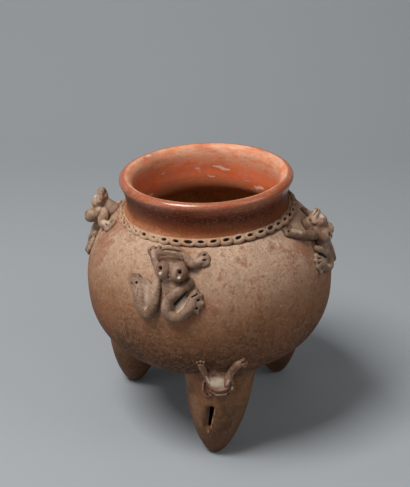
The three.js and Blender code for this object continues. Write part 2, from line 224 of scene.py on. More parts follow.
class Noise(Enum):
    """The noises of a clay surface, from broad to fine, as scale, detail and shift of the seed."""

    PATCH = (30, 3, 0)
    CLOUD = (85, 5, 3)
    FLECK = (330, 4, 5)
    SPECK = (620, 3, 7)
    GRIT = (1500, 2, 9)

    def on(self, nodes: Nodes, vector: Node | NodeSocket, seed: float) -> Value:
        """Adds the noise on a vector."""
        scale, detail, shift = self.value
        return nodes.noise(vector, scale, detail, seed + shift)


@dataclass(frozen=True)
class Zone:
    """A change of colour up one side of a piece: all of it below one height, none above another.

    Attributes:
        tint: its screen colour.
        share: how strong it is.
        full_at: the height where it is full, in metres.
        none_at: the height where it is gone.
        inner: whether it lies on the inner side.
    """

    tint: tuple
    share: float
    full_at: float
    none_at: float
    inner: bool = False


@dataclass(frozen=True)
class ClayFinish:
    """A fired clay or slip surface: clouded, stained, dusted and speckled.

    Colours are screen colours, 0 to 255 a channel.

    Attributes:
        name: the material's name.
        light: the paler clouds.
        middle: the surface between the clouds.
        dark: the darker clouds.
        stain: larger stains, with their share.
        dust: pale dust and crusts, and the painted light and painted highlights of pale marks, with its
            share.
        soot: fine dark specks.
        dirt: the dark colour of holes, grooves and creases, partly dirt and partly painted shade.
        zones: changes of colour up the piece.
        inside: colour of the inner side, with its share.
        speckle: how strong the specks are.
        roughness: its roughness.
        specular: how strongly it reflects.
        coat: strength of the glossy coat.
        coat_from: height above which the coat lies, in metres.
        patchiness: how much of the surface below shows through the zones in spots.
        crust: share of pale crusts on the inner side.
        streak: how much shorter the marks are up the piece than along it.
        grain: depth of the fine relief, in millimetres.
        seed: picks the pattern.
    """

    name: str
    light: tuple
    middle: tuple
    dark: tuple
    stain: tuple
    dust: tuple
    soot: tuple = (58, 40, 30)
    dirt: tuple = (34, 22, 15)
    zones: tuple[Zone, ...] = ()
    inside: tuple = (96, 64, 42)
    stain_share: float = 0.5
    dust_share: float = 0.4
    inside_share: float = 0.0
    speckle: float = 0.6
    roughness: float = 0.78
    specular: float = 0.2
    coat: float = 0.0
    coat_from: float = 0.0
    patchiness: float = 0.45
    crust: float = 0.0
    streak: float = 1.0
    grain: float = 0.3
    seed: float = 1.0

    COAT_EDGE = 0.006
    COAT_ROUGHNESS = 0.18

    def material(self) -> Material:
        """Builds the material.

        Each mark lies where a mixture of noises is high or low enough: the two numbers of its
        `between` are the levels at which it starts and is full.

        Returns:
            A node material that reads Object coordinates and the attributes "wear", which paints dirt
            and shade dark and dust and light pale, and "inner".
        """
        material = bpy.data.materials.new(self.name)
        material.use_nodes = True
        nodes = Nodes(material.node_tree)
        place = nodes.add("ShaderNodeTexCoord").outputs["Object"]
        grain = nodes.add(
            "ShaderNodeVectorMath", {"operation": "MULTIPLY"}, {0: place, 1: (1.0, 1.0, self.streak)}
        )
        height = nodes.split(place)[2]
        wear = nodes.attribute("wear")
        inner = nodes.attribute("inner")
        broad = (Noise.PATCH, Noise.CLOUD, Noise.FLECK)
        patch, cloud, fleck = (noise.on(nodes, grain, self.seed) for noise in broad)
        speck, grit = (noise.on(nodes, place, self.seed) for noise in (Noise.SPECK, Noise.GRIT))

        base = nodes.blend(cloud.between(0.36, 0.6), self.middle, self.light)
        base = nodes.blend(patch.between(0.5, 0.64) * 0.7, base, self.dark)
        dusted = (fleck + cloud * 0.7).between(0.8, 1.05) * self.dust_share
        base = nodes.blend(dusted, base, self.dust)
        stained = (cloud * 0.8 + fleck * 0.4 + patch * 0.5).between(0.79, 1.0) * self.stain_share
        base = nodes.blend(stained, base, self.stain)
        for zone in self.zones:
            edge = zone.none_at - zone.full_at
            level = height + ((patch - 0.5) * 1.2 + (fleck - 0.5) * 0.6) * edge
            patchy = 1 - (fleck * 0.5 + speck * 0.5).between(0.47, 0.6) * self.patchiness
            side = inner if zone.inner else 1 - inner
            amount = level.between(zone.none_at, zone.full_at) * patchy * zone.share * side
            base = nodes.blend(amount, base, zone.tint)
        mottled = (fleck * 0.6 + cloud * 0.5).between(0.53, 0.68) * self.speckle
        crusted = (patch + cloud * 0.8).between(1.02, 1.1) * inner * self.crust
        # Pale where the attribute is below 0: dust, and painted light and highlights.
        powder = wear * -1.0 - (1 - fleck) * 0.3 - (1 - speck) * 0.2
        for share, tint in (
            (inner * self.inside_share, self.inside),
            (stained * 0.4, self.stain),
            (mottled * 0.26, self.soot),
            (crusted, self.dust),
            (speck.between(0.5, 0.78) * self.speckle * 0.55, self.soot),
            (speck.between(0.46, 0.26) * self.speckle * 0.4, self.dust),
            (grit.between(0.5, 0.75) * self.speckle * 0.4, self.soot),
            # Dark in marks and creases: dirt and painted shade.
            ((wear * 0.95).between(0.0, 0.9), self.dirt),
            # Pale marks: dust, and painted light and highlights.
            (powder.between(-0.1, 0.6) * wear.between(0.0, -0.45), self.dust),
        ):
            base = nodes.blend(share, base, tint)

        relief = grit * 0.25 + speck * 0.5 + fleck * 0.6 + cloud * 0.6
        bump = nodes.add(
            "ShaderNodeBump", {}, {"Strength": 1.0, "Distance": self.grain * MM, "Height": relief}
        )
        rough = self.roughness + (fleck - 0.5) * 0.35 + wear * 0.1
        made = {"Base Color": base, "Roughness": rough.socket, "Normal": bump.outputs["Normal"]}
        if self.coat:
            coated = height.between(self.coat_from, self.coat_from + self.COAT_EDGE)
            made["Coat Weight"] = (coated * (1 - inner) * self.coat).socket
        inputs = material.node_tree.nodes["Principled BSDF"].inputs
        for name, socket in made.items():
            material.node_tree.links.new(socket, inputs[name])
        inputs["Coat Roughness"].default_value = self.COAT_ROUGHNESS
        inputs["Specular IOR Level"].default_value = self.specular
        return material


BOWL_CLAY = ClayFinish(
    "mottled_clay",
    light=(190, 160, 136), middle=(170, 138, 114), dark=(150, 110, 86),
    stain=(152, 96, 70), dust=(204, 178, 148), soot=(74, 48, 32), inside=(170, 122, 78),
    # Darker towards the bottom: partly the clay's own colour, partly painted shade of the bowl's lower
    # half.
    zones=(Zone((136, 86, 50), 0.9, 0.102, 0.15), Zone((60, 32, 14), 0.94, 0.068, 0.115)),
    inside_share=0.85, stain_share=0.65, dust_share=0.35, patchiness=0.36, speckle=1.0,
    grain=0.4, seed=2.0,
)
NECK_SLIP = ClayFinish(
    "orange_slip",
    light=(222, 162, 128), middle=(206, 130, 92), dark=(176, 88, 52),
    stain=(150, 66, 36), dust=(232, 200, 180), soot=(84, 40, 24),
    zones=(
        Zone((214, 94, 46), 0.8, 0.165, 0.178, inner=True),
        Zone((150, 104, 72), 0.85, 0.15, 0.163, inner=True),
        Zone((152, 74, 38), 0.88, 0.2, 0.21),
        # Dark band under the lip: partly the slip's own colour, partly painted shade of the lip's
        # overhang.
        Zone((72, 28, 8), 0.95, 0.172, 0.181),
        Zone((150, 84, 46), 0.7, 0.16, 0.171),
        Zone((186, 132, 96), 0.8, 0.1545, 0.163),
    ),
    stain_share=0.3, dust_share=0.3, patchiness=0.3, crust=0.7, speckle=0.3, roughness=0.45,
    coat=0.9, coat_from=0.173, streak=3.5, grain=0.12, seed=11.0,
)
STRIP_CLAY = ClayFinish(
    "strip_clay",
    light=(190, 156, 128), middle=(166, 130, 102), dark=(140, 102, 76),
    stain=(128, 88, 64), dust=(206, 182, 156), dirt=(50, 30, 18),
    stain_share=0.4, grain=0.2, seed=17.0,
)
FROG_CLAY = ClayFinish(
    "frog_clay",
    light=(178, 148, 126), middle=(134, 104, 80), dark=(82, 56, 40),
    stain=(112, 70, 50), dust=(200, 176, 154),
    # Darker and browner towards the bottom: partly the clay's own colour, partly painted shade of the
    # frogs' lower parts.
    zones=(Zone((84, 52, 30), 0.75, 0.112, 0.132),),
    stain_share=0.5, dust_share=0.3, speckle=0.7, roughness=0.54, specular=0.3,
    grain=0.3, seed=23.0,
)
FOOT_FROG_CLAY = ClayFinish(
    "foot_frog_clay",
    light=(148, 108, 82), middle=(120, 82, 58), dark=(92, 58, 40),
    stain=(124, 70, 48), dust=(216, 194, 172),
    stain_share=0.5, dust_share=0.3, speckle=0.5, roughness=0.56, specular=0.3,
    grain=0.24, seed=27.0,
)
FOOT_CLAY = ClayFinish(
    "foot_clay",
    light=(148, 106, 72), middle=(118, 79, 48), dark=(90, 57, 34),
    stain=(126, 70, 42), dust=(178, 146, 112), inside=(60, 38, 26),
    # The second zone darkens the foot's top as painted shade under the bowl.
    zones=(Zone((72, 44, 28), 0.75, 0.016, 0.07), Zone((66, 42, 27), 0.85, 0.073, 0.058)),
    inside_share=0.9, stain_share=0.55, dust_share=0.3, speckle=0.6, roughness=0.6,
    grain=0.28, seed=31.0,
)
PELLET_CLAY = ClayFinish(
    "pellet_clay",
    light=(158, 112, 86), middle=(136, 90, 66), dark=(104, 64, 46),
    stain=(120, 70, 50), dust=(180, 150, 120), roughness=0.85, seed=41.0,
)


# Shapes in clay


def smooth_least(first: np.ndarray, second: np.ndarray, blend: float) -> np.ndarray:
    """Lesser of two distances, rounded where they are within a blend of each other."""
    share = np.clip(0.5 + 0.5 * (second - first) / blend, 0, 1)
    return second * (1 - share) + first * share - blend * share * (1 - share)


def ease(values: np.ndarray, low: float, high: float) -> np.ndarray:
    """Smooth step from 0 at low to 1 at high."""
    share = np.clip((values - low) / (high - low), 0, 1)
    return share * share * (3 - 2 * share)


def through(rows: Sequence[Sequence[float]], steps: int) -> np.ndarray:
    """Runs a smooth line through rows of numbers.

    Args:
        rows: the rows that the line passes through.
        steps: how many points each stretch gets.

    Returns:
        The denser rows.
    """
    knots = np.asarray(rows, float)
    padded = np.vstack([2 * knots[0] - knots[1], knots, 2 * knots[-1] - knots[-2]])
    shares = np.linspace(0, 1, steps, endpoint=False)[:, None]
    made = []
    for a, b, c, d in zip(padded, padded[1:], padded[2:], padded[3:]):
        made.append(
            0.5 * (2 * b + (c - a) * shares + (2 * a - 5 * b + 4 * c - d) * shares**2
                   + (3 * b - a - 3 * c + d) * shares**3)
        )
    return np.vstack([*made, knots[-1:]])


@dataclass(frozen=True)
class Roll:
    """A roll of clay along a centre line, with a radius at each point of it."""

    line: Points
    radii: np.ndarray

    def distance(self, points: Points) -> np.ndarray:
        """Signed distance from the roll's surface.

        Args:
            points: the places that are measured.

        Returns:
            The distances, below 0 inside.
        """
        least = np.full(len(points), np.inf)
        for start, end, r0, r1 in zip(self.line, self.line[1:], self.radii, self.radii[1:]):
            along = end - start
            share = np.clip((points - start) @ along / (along @ along), 0, 1)
            gap = np.linalg.norm(points - start - share[:, None] * along, axis=1)
            least = np.minimum(least, gap - (r0 + (r1 - r0) * share))
        return least

    def balls(self) -> list[Matrix]:
        """Balls that fill the roll, as matrices of a unit ball.

        Returns:
            One matrix for each point of the line.
        """
        return [
            Matrix.Translation(Vector(point)) @ Matrix.Diagonal((radius, radius, radius, 1))
            for point, radius in zip(self.line, self.radii)
        ]


@dataclass(frozen=True)
class Lump:
    """A ball of clay pressed to half sizes along its own three directions."""

    middle: np.ndarray
    sides: np.ndarray
    halves: np.ndarray

    def distance(self, points: Points) -> np.ndarray:
        """Signed distance from the lump's surface, close near it.

        Args:
            points: the places that are measured.

        Returns:
            The distances, below 0 inside.
        """
        local = (points - self.middle) @ self.sides.T
        near = np.linalg.norm(local / self.halves, axis=1)
        slope = np.linalg.norm(local / self.halves**2, axis=1)
        return near * (near - 1) / np.maximum(slope, 1e-6)

    def balls(self) -> list[Matrix]:
        """The lump as one matrix of a unit ball."""
        turn = Matrix([list(side) for side in self.sides]).transposed().to_4x4()
        return [Matrix.Translation(Vector(self.middle)) @ turn @ Matrix.Diagonal((*self.halves, 1))]


@dataclass(frozen=True)
class Dent:
    """A mark pressed into the clay along a short line.

    Attributes:
        start: where the mark starts.
        end: where it ends.
        inward: the direction in which the clay is pressed.
        width: half the mark's width.
        depth: how deep it is pressed.
        wear: how dark it is painted, up to 1, for dirt and painted shade, or how pale, down to -1, for
            dust and painted light.
        reach: how far off along the pressing direction the clay still moves.
    """

    start: np.ndarray
    end: np.ndarray
    inward: np.ndarray
    width: float
    depth: float
    wear: float = 1.0
    reach: float = 4.0

    # Where the mark is full and where it ends, as shares of its width.
    FULL = 0.35
    END = 1.3

    def press(self, points: Points) -> np.ndarray:
        """How deep each point lies in the mark, as a share of its full depth.

        Args:
            points: the surface's points.

        Returns:
            The shares, from 0 to 1.
        """
        from_start = points - self.start
        lift = from_start @ self.inward
        flat = from_start - lift[:, None] * self.inward
        along = self.end - self.start
        along = along - (along @ self.inward) * self.inward
        length = max(along @ along, 1e-9)
        share = np.clip(flat @ along / length, 0, 1)
        off = np.linalg.norm(flat - share[:, None] * along, axis=1)
        deep = 1 - ease(off, self.FULL * self.width, self.END * self.width)
        return deep * (np.abs(lift) < self.reach)


# Shares of a mark's depth at which its dirt and painted shade start and are full.
DIRT_AND_SHADE_IN_MARKS = (0.3, 0.95)


def marked(points: Points, dents: Sequence[Dent], hold: np.ndarray) -> tuple[Points, np.ndarray]:
    """Presses marks into a surface, one after another.

    Args:
        points: the surface's points.
        dents: the marks.
        hold: how far each point may move, from 0 to 1.

    Returns:
        The moved points, and how dark or pale each one is painted.
    """
    wear = np.zeros(len(points))
    for dent in dents:
        pressed = dent.press(points) * hold
        points = points + (dent.depth * pressed)[:, None] * dent.inward
        share = ease(pressed, *DIRT_AND_SHADE_IN_MARKS) if dent.wear > 0 else pressed
        wear = wear * (1 - share) + dent.wear * share
    return points, wear


def store_number(mesh: Mesh, name: str, values: np.ndarray) -> None:
    """Stores a number on each point of a mesh."""
    layer = mesh.attributes.get(name) or mesh.attributes.new(name, "FLOAT", "POINT")
    layer.data.foreach_set("value", values.astype(np.float32))


@dataclass
class ClayPiece:
    """One piece of clay: rolls and lumps joined softly, marked, and pressed on a surface.

    Attributes:
        name: the piece's name.
        parts: the rolls and lumps that it is made of.
        dents: the marks in it.
        ground: signed distance from the surface that carries it, or None.
        blend: how softly its parts run into each other.
        skirt: how softly its edge runs out on the ground.
        cell: size of the grid on which it is first made.
        uneven: how uneven its surface is.
        soiling: how strong the painted shade is where it meets the ground, and the painted light on its
            tops.
        powder: how dusty it is all over.
    """

    name: str
    parts: list[Roll | Lump]
    dents: list[Dent] = field(default_factory=list)
    ground: Field | None = None
    blend: float = 1.2
    skirt: float = 1.0
    cell: float = 0.45
    uneven: float = 0.12
    soiling: float = 0.0
    powder: float = 0.0

    # How deep its edge lies in the ground, and between which heights the clay is shaped.
    SUNK = 0.25
    SHAPED_FROM = -1.6
    SHAPED_ABOVE = -0.4
    # How high above the ground the painted shade reaches, and where and how strongly painted light lies
    # on the tops.
    SOILED_TO = 2.4
    DUSTED_FROM = 3.2
    DUSTED_AT = 6.5
    DUST = 0.2
    # Settling on the surface: rounds, the step that finds the slope, and the longest move.
    ROUNDS = 5
    STEP = 0.02
    LONGEST = 1.0
    # Lengths of the bumps' waves, and how closely they follow each other.
    WAVES = (11.0, 6.0, 3.2)
    TIGHTNESS = 0.6

    def distance(self, points: Points) -> np.ndarray:
        """Signed distance from the piece's surface, with its skirt on the ground.

        Args:
            points: the places that are measured.

        Returns:
            The distances, below 0 inside.
        """
        least = self.parts[0].distance(points)
        for part in self.parts[1:]:
            least = smooth_least(least, part.distance(points), self.blend)
        if self.ground is not None:
            least = smooth_least(least, self.ground(points) + self.SUNK, self.skirt)
        return least

    def _rough(self) -> Mesh:
        """Joins the parts on a grid.

        Returns:
            The rough mesh, in millimetres.
        """
        form = bmesh.new()
        for part in self.parts:
            for matrix in part.balls():
                bmesh.ops.create_icosphere(form, subdivisions=3, radius=1.0, matrix=matrix)
        heap = mesh_of(form, self.name + "_balls")
        lump = placed(heap.name, heap)
        remesh = lump.modifiers.new("grid", "REMESH")
        remesh.mode = "VOXEL"
        remesh.voxel_size = self.cell
        made = baked(lump)
        bpy.data.objects.remove(lump)
        bpy.data.meshes.remove(heap)
        return made

    def build(self, place: Matrix) -> Object:
        """Makes the piece.

        Args:
            place: turns the piece's frame, in millimetres, into the part's, in millimetres.

        Returns:
            The finished object, in metres.
        """
        mesh = self._rough()
        points = points_of(mesh)
        held = np.ones(len(points))
        if self.ground is not None:
            held = ease(self.ground(points), self.SHAPED_FROM, self.SHAPED_ABOVE)
        for _ in range(self.ROUNDS):
            points = self._settled(points, held)
        points = points + self._unevenness(points)
        points, wear = marked(points, self.dents, held)
        if self.ground is not None:
            # Painted shade where the piece meets the ground, and painted light on its tops.
            off = self.ground(points)
            dust = self.DUST * ease(off, self.DUSTED_FROM, self.DUSTED_AT)
            wear = wear + self.soiling * ((1 - ease(off, 0.0, self.SOILED_TO)) - dust)
        store_points(mesh, points)
        store_number(mesh, "wear", wear - self.powder)
        mesh.transform(Matrix.Scale(MM, 4) @ place)
        mesh.shade_smooth()
        return placed(self.name, mesh)

    def _settled(self, points: Points, held: np.ndarray) -> Points:
        """Moves points one step towards the surface, as far as they are held to it.

        Args:
            points: the surface's points.
            held: how far each one may move, from 0 to 1.

        Returns:
            The moved points.
        """
        here = self.distance(points)
        slope = np.stack(
            [(self.distance(points + self.STEP * side) - here) / self.STEP for side in np.eye(3)],
            axis=1,
        )
        size = np.maximum((slope**2).sum(1), 0.25)
        move = np.clip(held * here / size, -self.LONGEST, self.LONGEST)
        return points - move[:, None] * slope

    def _unevenness(self, points: Points) -> Points:
        """Soft hand-made bumps, the same on every run.

        Args:
            points: the surface's points.

        Returns:
            How far each point is moved.
        """
        pick = np.random.default_rng(sum(map(ord, self.name)))
        move = np.zeros_like(points)
        for wave in self.WAVES:
            turn = pick.normal(size=(3, 3)) * 2 * math.pi / wave
            phase = pick.uniform(0, 2 * math.pi, 3)
            height = self.uneven * math.sqrt(wave / self.WAVES[0])
            move += height * np.sin(points @ turn * self.TIGHTNESS + phase)
        return move


def baked(item: Object) -> Mesh:
    """Turns an object with its modifiers into a plain mesh of its own."""
    graph = bpy.context.evaluated_depsgraph_get()
    return bpy.data.meshes.new_from_object(item.evaluated_get(graph), depsgraph=graph)


def mesh_of(form: bmesh.types.BMesh, name: str) -> Mesh:
    """Turns a form into a mesh.

    Args:
        form: the form, which is freed.
        name: the mesh's name.

    Returns:
        The mesh.
    """
    mesh = bpy.data.meshes.new(name)
    form.to_mesh(mesh)
    form.free()
    return mesh


def points_of(mesh: Mesh) -> Points:
    """Reads a mesh's points."""
    flat = np.empty(3 * len(mesh.vertices), np.float32)
    mesh.vertices.foreach_get("co", flat)
    return flat.reshape(-1, 3).astype(float)


def store_points(mesh: Mesh, points: Points) -> None:
    """Writes a mesh's points."""
    mesh.vertices.foreach_set("co", points.astype(np.float32).ravel())
    mesh.update()


def linked(name: str, data: ID) -> Object:
    """Shows data as an object at the origin.

    Args:
        name: the object's name.
        data: its mesh, curve, lamp or camera.

    Returns:
        The object.
    """
    item = bpy.data.objects.new(name, data)
    bpy.context.collection.objects.link(item)
    return item


def placed(name: str, mesh: Mesh) -> Object:
    """Shows a mesh as an object at the origin, under the same name."""
    mesh.name = name
    return linked(name, mesh)


def face_outwards(mesh: Mesh) -> None:
    """Turns a closed mesh's faces outwards.

    Args:
        mesh: the mesh, which is changed.
    """
    form = bmesh.new()
    form.from_mesh(mesh)
    if form.calc_volume(signed=True) < 0:
        bmesh.ops.reverse_faces(form, faces=form.faces)
    form.to_mesh(mesh)
    form.free()


def rotation(degrees: float, axis: str) -> Matrix:
    """Turns round an axis."""
    return Matrix.Rotation(math.radians(degrees), 4, axis)


def in_metres(place: Matrix) -> Matrix:
    """A place in millimetres, for a mesh that is in metres already."""
    return Matrix.Translation(place.translation * MM) @ place.to_3x3().to_4x4()


class Finishing:
    """Dresses finished pieces: one material for each finish, and each piece's body."""

    def __init__(self) -> None:
        """Starts with no materials."""
        self.materials: dict[str, Material] = {}

    def material(self, finish: ClayFinish) -> Material:
        """The material of a finish, made when it is first asked for."""
        if finish.name not in self.materials:
            self.materials[finish.name] = finish.material()
        return self.materials[finish.name]

    def dress(self, item: Object, finish: ClayFinish, body: str, slot: str, *nodes: str) -> None:
        """Gives a piece its finish and its body, and hides the solids that it stands for.

        Args:
            item: the piece.
            finish: its finish.
            body: the body that it rides on.
            slot: the record's material slot; not used.
            nodes: names of the solids that it replaces.
        """
        item.data.materials.clear()
        item.data.materials.append(self.material(finish))
        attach(item, body)
        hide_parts(*nodes)
        log.info("%s: %d faces on %s", item.name, len(item.data.polygons), body)


# The vessel


@dataclass(frozen=True)
class BowlForm:
    """The bowl's outline, in millimetres from the middle of its widest line.

    Attributes:
        radius: radius at the widest line.
        depth: distance down to the bottom.
        rise: distance up to where the dome would close.
        fullness: how square the lower half is.
        dome_power: how the upper half rounds over.
        wall: wall thickness.
        shoulder: height of the seat of the neck.
        middle: the widest line's height above the ground.
        lean: how far the bowl leans sideways, in degrees.
    """

    radius: float = 85.0
    depth: float = 60.0
    rise: float = 60.4
    fullness: float = 2.6
    dome_power: float = 2.0
    wall: float = 6.0
    shoulder: float = 46.3
    middle: float = 109.0
    lean: float = -1.9

    OUTSIDE_ROWS = 70
    INSIDE_ROWS = 50
    MERIDIAN_ROWS = 400

    def at_turn(self, turn: float, grow: float) -> tuple[float, float]:
        """Radius and height of the outline at a turn from -90 degrees, the bottom, upwards.

        Args:
            turn: the turn, in radians.
            grow: how far outside the outline the place lies.

        Returns:
            The radius and the height.
        """
        radius = (self.radius + grow) * math.cos(turn) ** (2 / self.fullness)
        if turn < 0:
            return radius, -(self.depth + grow) * math.sin(-turn) ** (2 / self.fullness)
        return radius, (self.rise + grow) * math.sin(turn) ** (2 / self.dome_power)

    def radius_at(self, height: np.ndarray) -> np.ndarray:
        """Radius of the outside at heights from the widest line."""
        share = np.where(height < 0, -height / self.depth, height / self.rise)
        power = np.where(height < 0, self.fullness, self.dome_power)
        return self.radius * np.maximum(1 - np.clip(share, 0, 1) ** power, 0) ** (1 / self.fullness)

    def distance(self, points: Points) -> np.ndarray:
        """Signed distance from the outside, close near it.

        Args:
            points: the places that are measured.

        Returns:
            The distances, below 0 inside.
        """
        around = np.maximum(np.hypot(points[:, 0], points[:, 1]), 1e-6)
        height = points[:, 2]
        below = height < 0
        reach = np.where(below, self.depth, self.rise)
        power = np.where(below, self.fullness, self.dome_power)
        tall = np.maximum(np.abs(height), 1e-6)
        level = (around / self.radius) ** self.fullness + (tall / reach) ** power - 1
        slope = np.hypot(
            self.fullness * around ** (self.fullness - 1) / self.radius**self.fullness,
            power * tall ** (power - 1) / reach**power,
        )
        return level / np.maximum(slope, 0.01)

    def top_turn(self, height: float, grow: float) -> float:
        """Turn at which the outline reaches a height on the upper half."""
        return math.asin((height / (self.rise + grow)) ** (self.dome_power / 2))

    def profile(self) -> tuple[list, list]:
        """Outlines of the outside, from the bottom up, and of the inside, from the top down.

        Returns:
            Radius and height of each point, for either side.
        """
        top_inside = self.top_turn(self.shoulder - self.wall / 2, -self.wall)
        turns = np.linspace(-math.pi / 2, self.top_turn(self.shoulder, 0), self.OUTSIDE_ROWS)
        outside = [self.at_turn(turn, 0) for turn in turns]
        turns = np.linspace(top_inside, -math.pi / 2, self.INSIDE_ROWS)
        inside = [self.at_turn(turn, -self.wall) for turn in turns]
        outside[0] = (0.0, outside[0][1])
        inside[-1] = (0.0, inside[-1][1])
        return outside, inside

    def meridian(self) -> tuple[np.ndarray, np.ndarray, np.ndarray]:
        """Surface distances down from the neck's seat, with the heights and radii there.

        Returns:
            The distances, the heights and the radii.
        """
        heights = np.linspace(self.shoulder, -self.depth / 2, self.MERIDIAN_ROWS)
        radii = self.radius_at(heights)
        steps = np.hypot(np.diff(heights), np.diff(radii))
        return np.concatenate([[0], np.cumsum(steps)]), heights, radii


@dataclass(frozen=True)
class Site:
    """Where the vase stands in the part's frame, in millimetres."""

    axis: tuple[float, float]
    bowl: BowlForm

    @classmethod
    def found(cls, bowl: BowlForm) -> Site:
        """Finds the vase's axis from the bowl's solid."""
        low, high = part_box("bowl")
        return cls(((low[0] + high[0]) / 2 / MM, (low[1] + high[1]) / 2 / MM), bowl)

    def bowl_place(self) -> Matrix:
        """Turns the bowl's frame into the part's."""
        return Matrix.Translation((*self.axis, self.bowl.middle)) @ rotation(self.bowl.lean, "Y")

    def foot_place(self, azimuth: float) -> Matrix:
        """Turns the frame of a foot at an azimuth into the part's."""
        return Matrix.Translation((*self.axis, 0)) @ rotation(azimuth, "Z")


class GeometryTree:
    """A geometry node tree with named inputs, which ends in real geometry with a finish on it."""

    def __init__(self, title: str, inputs: dict[str, str]) -> None:
        """Makes the tree's sockets.

        Args:
            title: the tree's name.
            inputs: each input's name and kind, without the finish.
        """
        self.tree = bpy.data.node_groups.new(title, "GeometryNodeTree")
        face = self.tree.interface
        face.new_socket("Geometry", in_out="OUTPUT", socket_type="NodeSocketGeometry")
        self.sockets = {
            name: face.new_socket(name, in_out="INPUT", socket_type="NodeSocket" + kind).identifier
            for name, kind in {**inputs, "Finish": "Material"}.items()
        }
        self.nodes = Nodes(self.tree)
        self.given = self.nodes.add("NodeGroupInput").outputs
        self.value = {
            name: Value(self.nodes, self.given[name])
            for name, kind in inputs.items() if kind != "Geometry"
        }

    def join(self, pieces: Sequence[Node]) -> Node:
        """Joins geometry, of which the last one given comes first.

        Args:
            pieces: the nodes that give it.

        Returns:
            The node that joins it.
        """
        joined = self.nodes.add("GeometryNodeJoinGeometry")
        for piece in pieces:
            self.tree.links.new(piece.outputs[0], joined.inputs[0])
        return joined

    def finish(self, geometry: Node) -> None:
        """Ends the tree with smooth, real geometry that has the finish on it.

        Args:
            geometry: the node that gives the geometry.
        """
        add = self.nodes.add
        smooth = add("GeometryNodeSetShadeSmooth", {}, {"Geometry": geometry})
        real = add("GeometryNodeRealizeInstances", {}, {"Geometry": smooth})
        dressing = {"Geometry": real, "Material": self.given["Finish"]}
        add("NodeGroupOutput", {}, {0: add("GeometryNodeSetMaterial", {}, dressing)})

    def run(self, item: Object, sizes: dict) -> Mesh:
        """Runs the tree on an object, which is then removed.

        Args:
            item: the object.
            sizes: the tree's inputs by name, in metres and radians.

        Returns:
            The geometry as a plain mesh.
        """
        modifier = item.modifiers.new("tree", "NODES")
        modifier.node_group = self.tree
        for name, size in sizes.items():
            modifier[self.sockets[name]] = size
        mesh = baked(item)
        item.modifiers.remove(modifier)
        bpy.data.objects.remove(item)
        return mesh


@dataclass(frozen=True)
class Turning:
    """How a shell is turned: how fine its mesh is, and its unevenness in millimetres.

    Attributes:
        sides: points round it.
        rows: points along its outline.
        lumps: height of broad lumps.
        lump_scale: how many of them lie in a metre.
        ripples: height of fine ripples.
        ripple_scale: how many of them lie in a metre.
        seed: picks the unevenness.
    """

    sides: int
    rows: int
    lumps: float
    lump_scale: float
    ripples: float
    ripple_scale: float
    seed: float

    def inputs(self) -> dict[str, float]:
        """The numbers as inputs of a TurnedTree.

        Returns:
            The inputs by name, in metres.
        """
        return {
            "Sides": self.sides, "Rows": self.rows, "Seed": self.seed,
            "Lump Height": self.lumps * MM, "Lump Scale": self.lump_scale,
            "Ripple Height": self.ripples * MM, "Ripple Scale": self.ripple_scale,
        }


class TurnedTree(GeometryTree):
    """Geometry nodes that turn a profile curve into a slightly uneven closed shell."""

    WELD = 0.004

    def __init__(self) -> None:
        """Builds the tree."""
        unevenness = ("Lump Height", "Lump Scale", "Ripple Height", "Ripple Scale", "Inner From", "Seed")
        super().__init__("turned_clay", {
            "Geometry": "Geometry", "Sides": "Int", "Rows": "Int", **dict.fromkeys(unevenness, "Float"),
        })
        nodes, value = self.nodes, self.value
        rows, sides, seed = value["Rows"], value["Sides"], value["Seed"]

        grid = nodes.add("GeometryNodeMeshGrid", {}, {"Vertices X": sides + 1, "Vertices Y": rows})
        index = nodes.number("GeometryNodeInputIndex")
        around = ((index + 0.5) / rows).floor()
        along = (index - around * rows) / (rows - 1)
        inner = nodes.math("GREATER_THAN", along, value["Inner From"])
        noted = nodes.add(
            "GeometryNodeStoreNamedAttribute", {"data_type": "FLOAT"},
            {"Geometry": grid, "Name": "inner", "Value": inner},
        )
        sample = nodes.add(
            "GeometryNodeSampleCurve", {"mode": "FACTOR"},
            {"Curves": self.given["Geometry"], "Factor": along},
        )
        turned = nodes.add(
            "ShaderNodeVectorRotate", {"rotation_type": "Z_AXIS"},
            {"Vector": sample.outputs["Position"], "Angle": around / sides * (2 * math.pi)},
        )
        shell = nodes.add("GeometryNodeSetPosition", {}, {"Geometry": noted, "Position": turned})
        weld = {"Geometry": shell, "Distance": self.WELD * MM}
        merged = nodes.add("GeometryNodeMergeByDistance", {}, weld)
        place = nodes.add("GeometryNodeInputPosition")
        normal = nodes.add("GeometryNodeInputNormal")
        lumps = nodes.noise(place, value["Lump Scale"], 1.0, seed) - 0.5
        ripples = nodes.noise(place, value["Ripple Scale"], 2.0, seed + 9) - 0.5
        height = lumps * value["Lump Height"] + ripples * value["Ripple Height"]
        push = nodes.add("ShaderNodeVectorMath", {"operation": "SCALE"}, {0: normal, "Scale": height})
        self.finish(nodes.add("GeometryNodeSetPosition", {}, {"Geometry": merged, "Offset": push}))

    def turn(
        self, name: str, outside: list, inside: list, turning: Turning, finish: Material
    ) -> Mesh:
        """Turns an outline.

        Args:
            name: the mesh's name.
            outside: radius and height of each point of the outer side, in millimetres.
            inside: the same of the inner side, which goes on from there.
            turning: how the shell is turned.
            finish: its material.

        Returns:
            The shell as a plain mesh.
        """
        profile = [*outside, *inside]
        steps = np.linalg.norm(np.diff(np.array(profile), axis=0), axis=1)
        line = bpy.data.curves.new(name + "_profile", "CURVE")
        line.dimensions = "3D"
        spline = line.splines.new("POLY")
        spline.points.add(len(profile) - 1)
        for point, (radius, height) in zip(spline.points, profile):
            point.co = (radius * MM, 0, height * MM, 1)
        inner_from = float(steps[:len(outside)].sum() / steps.sum())
        sizes = {"Inner From": inner_from, "Finish": finish, **turning.inputs()}
        mesh = self.run(linked(name + "_profile", line), sizes)
        face_outwards(mesh)
        return mesh


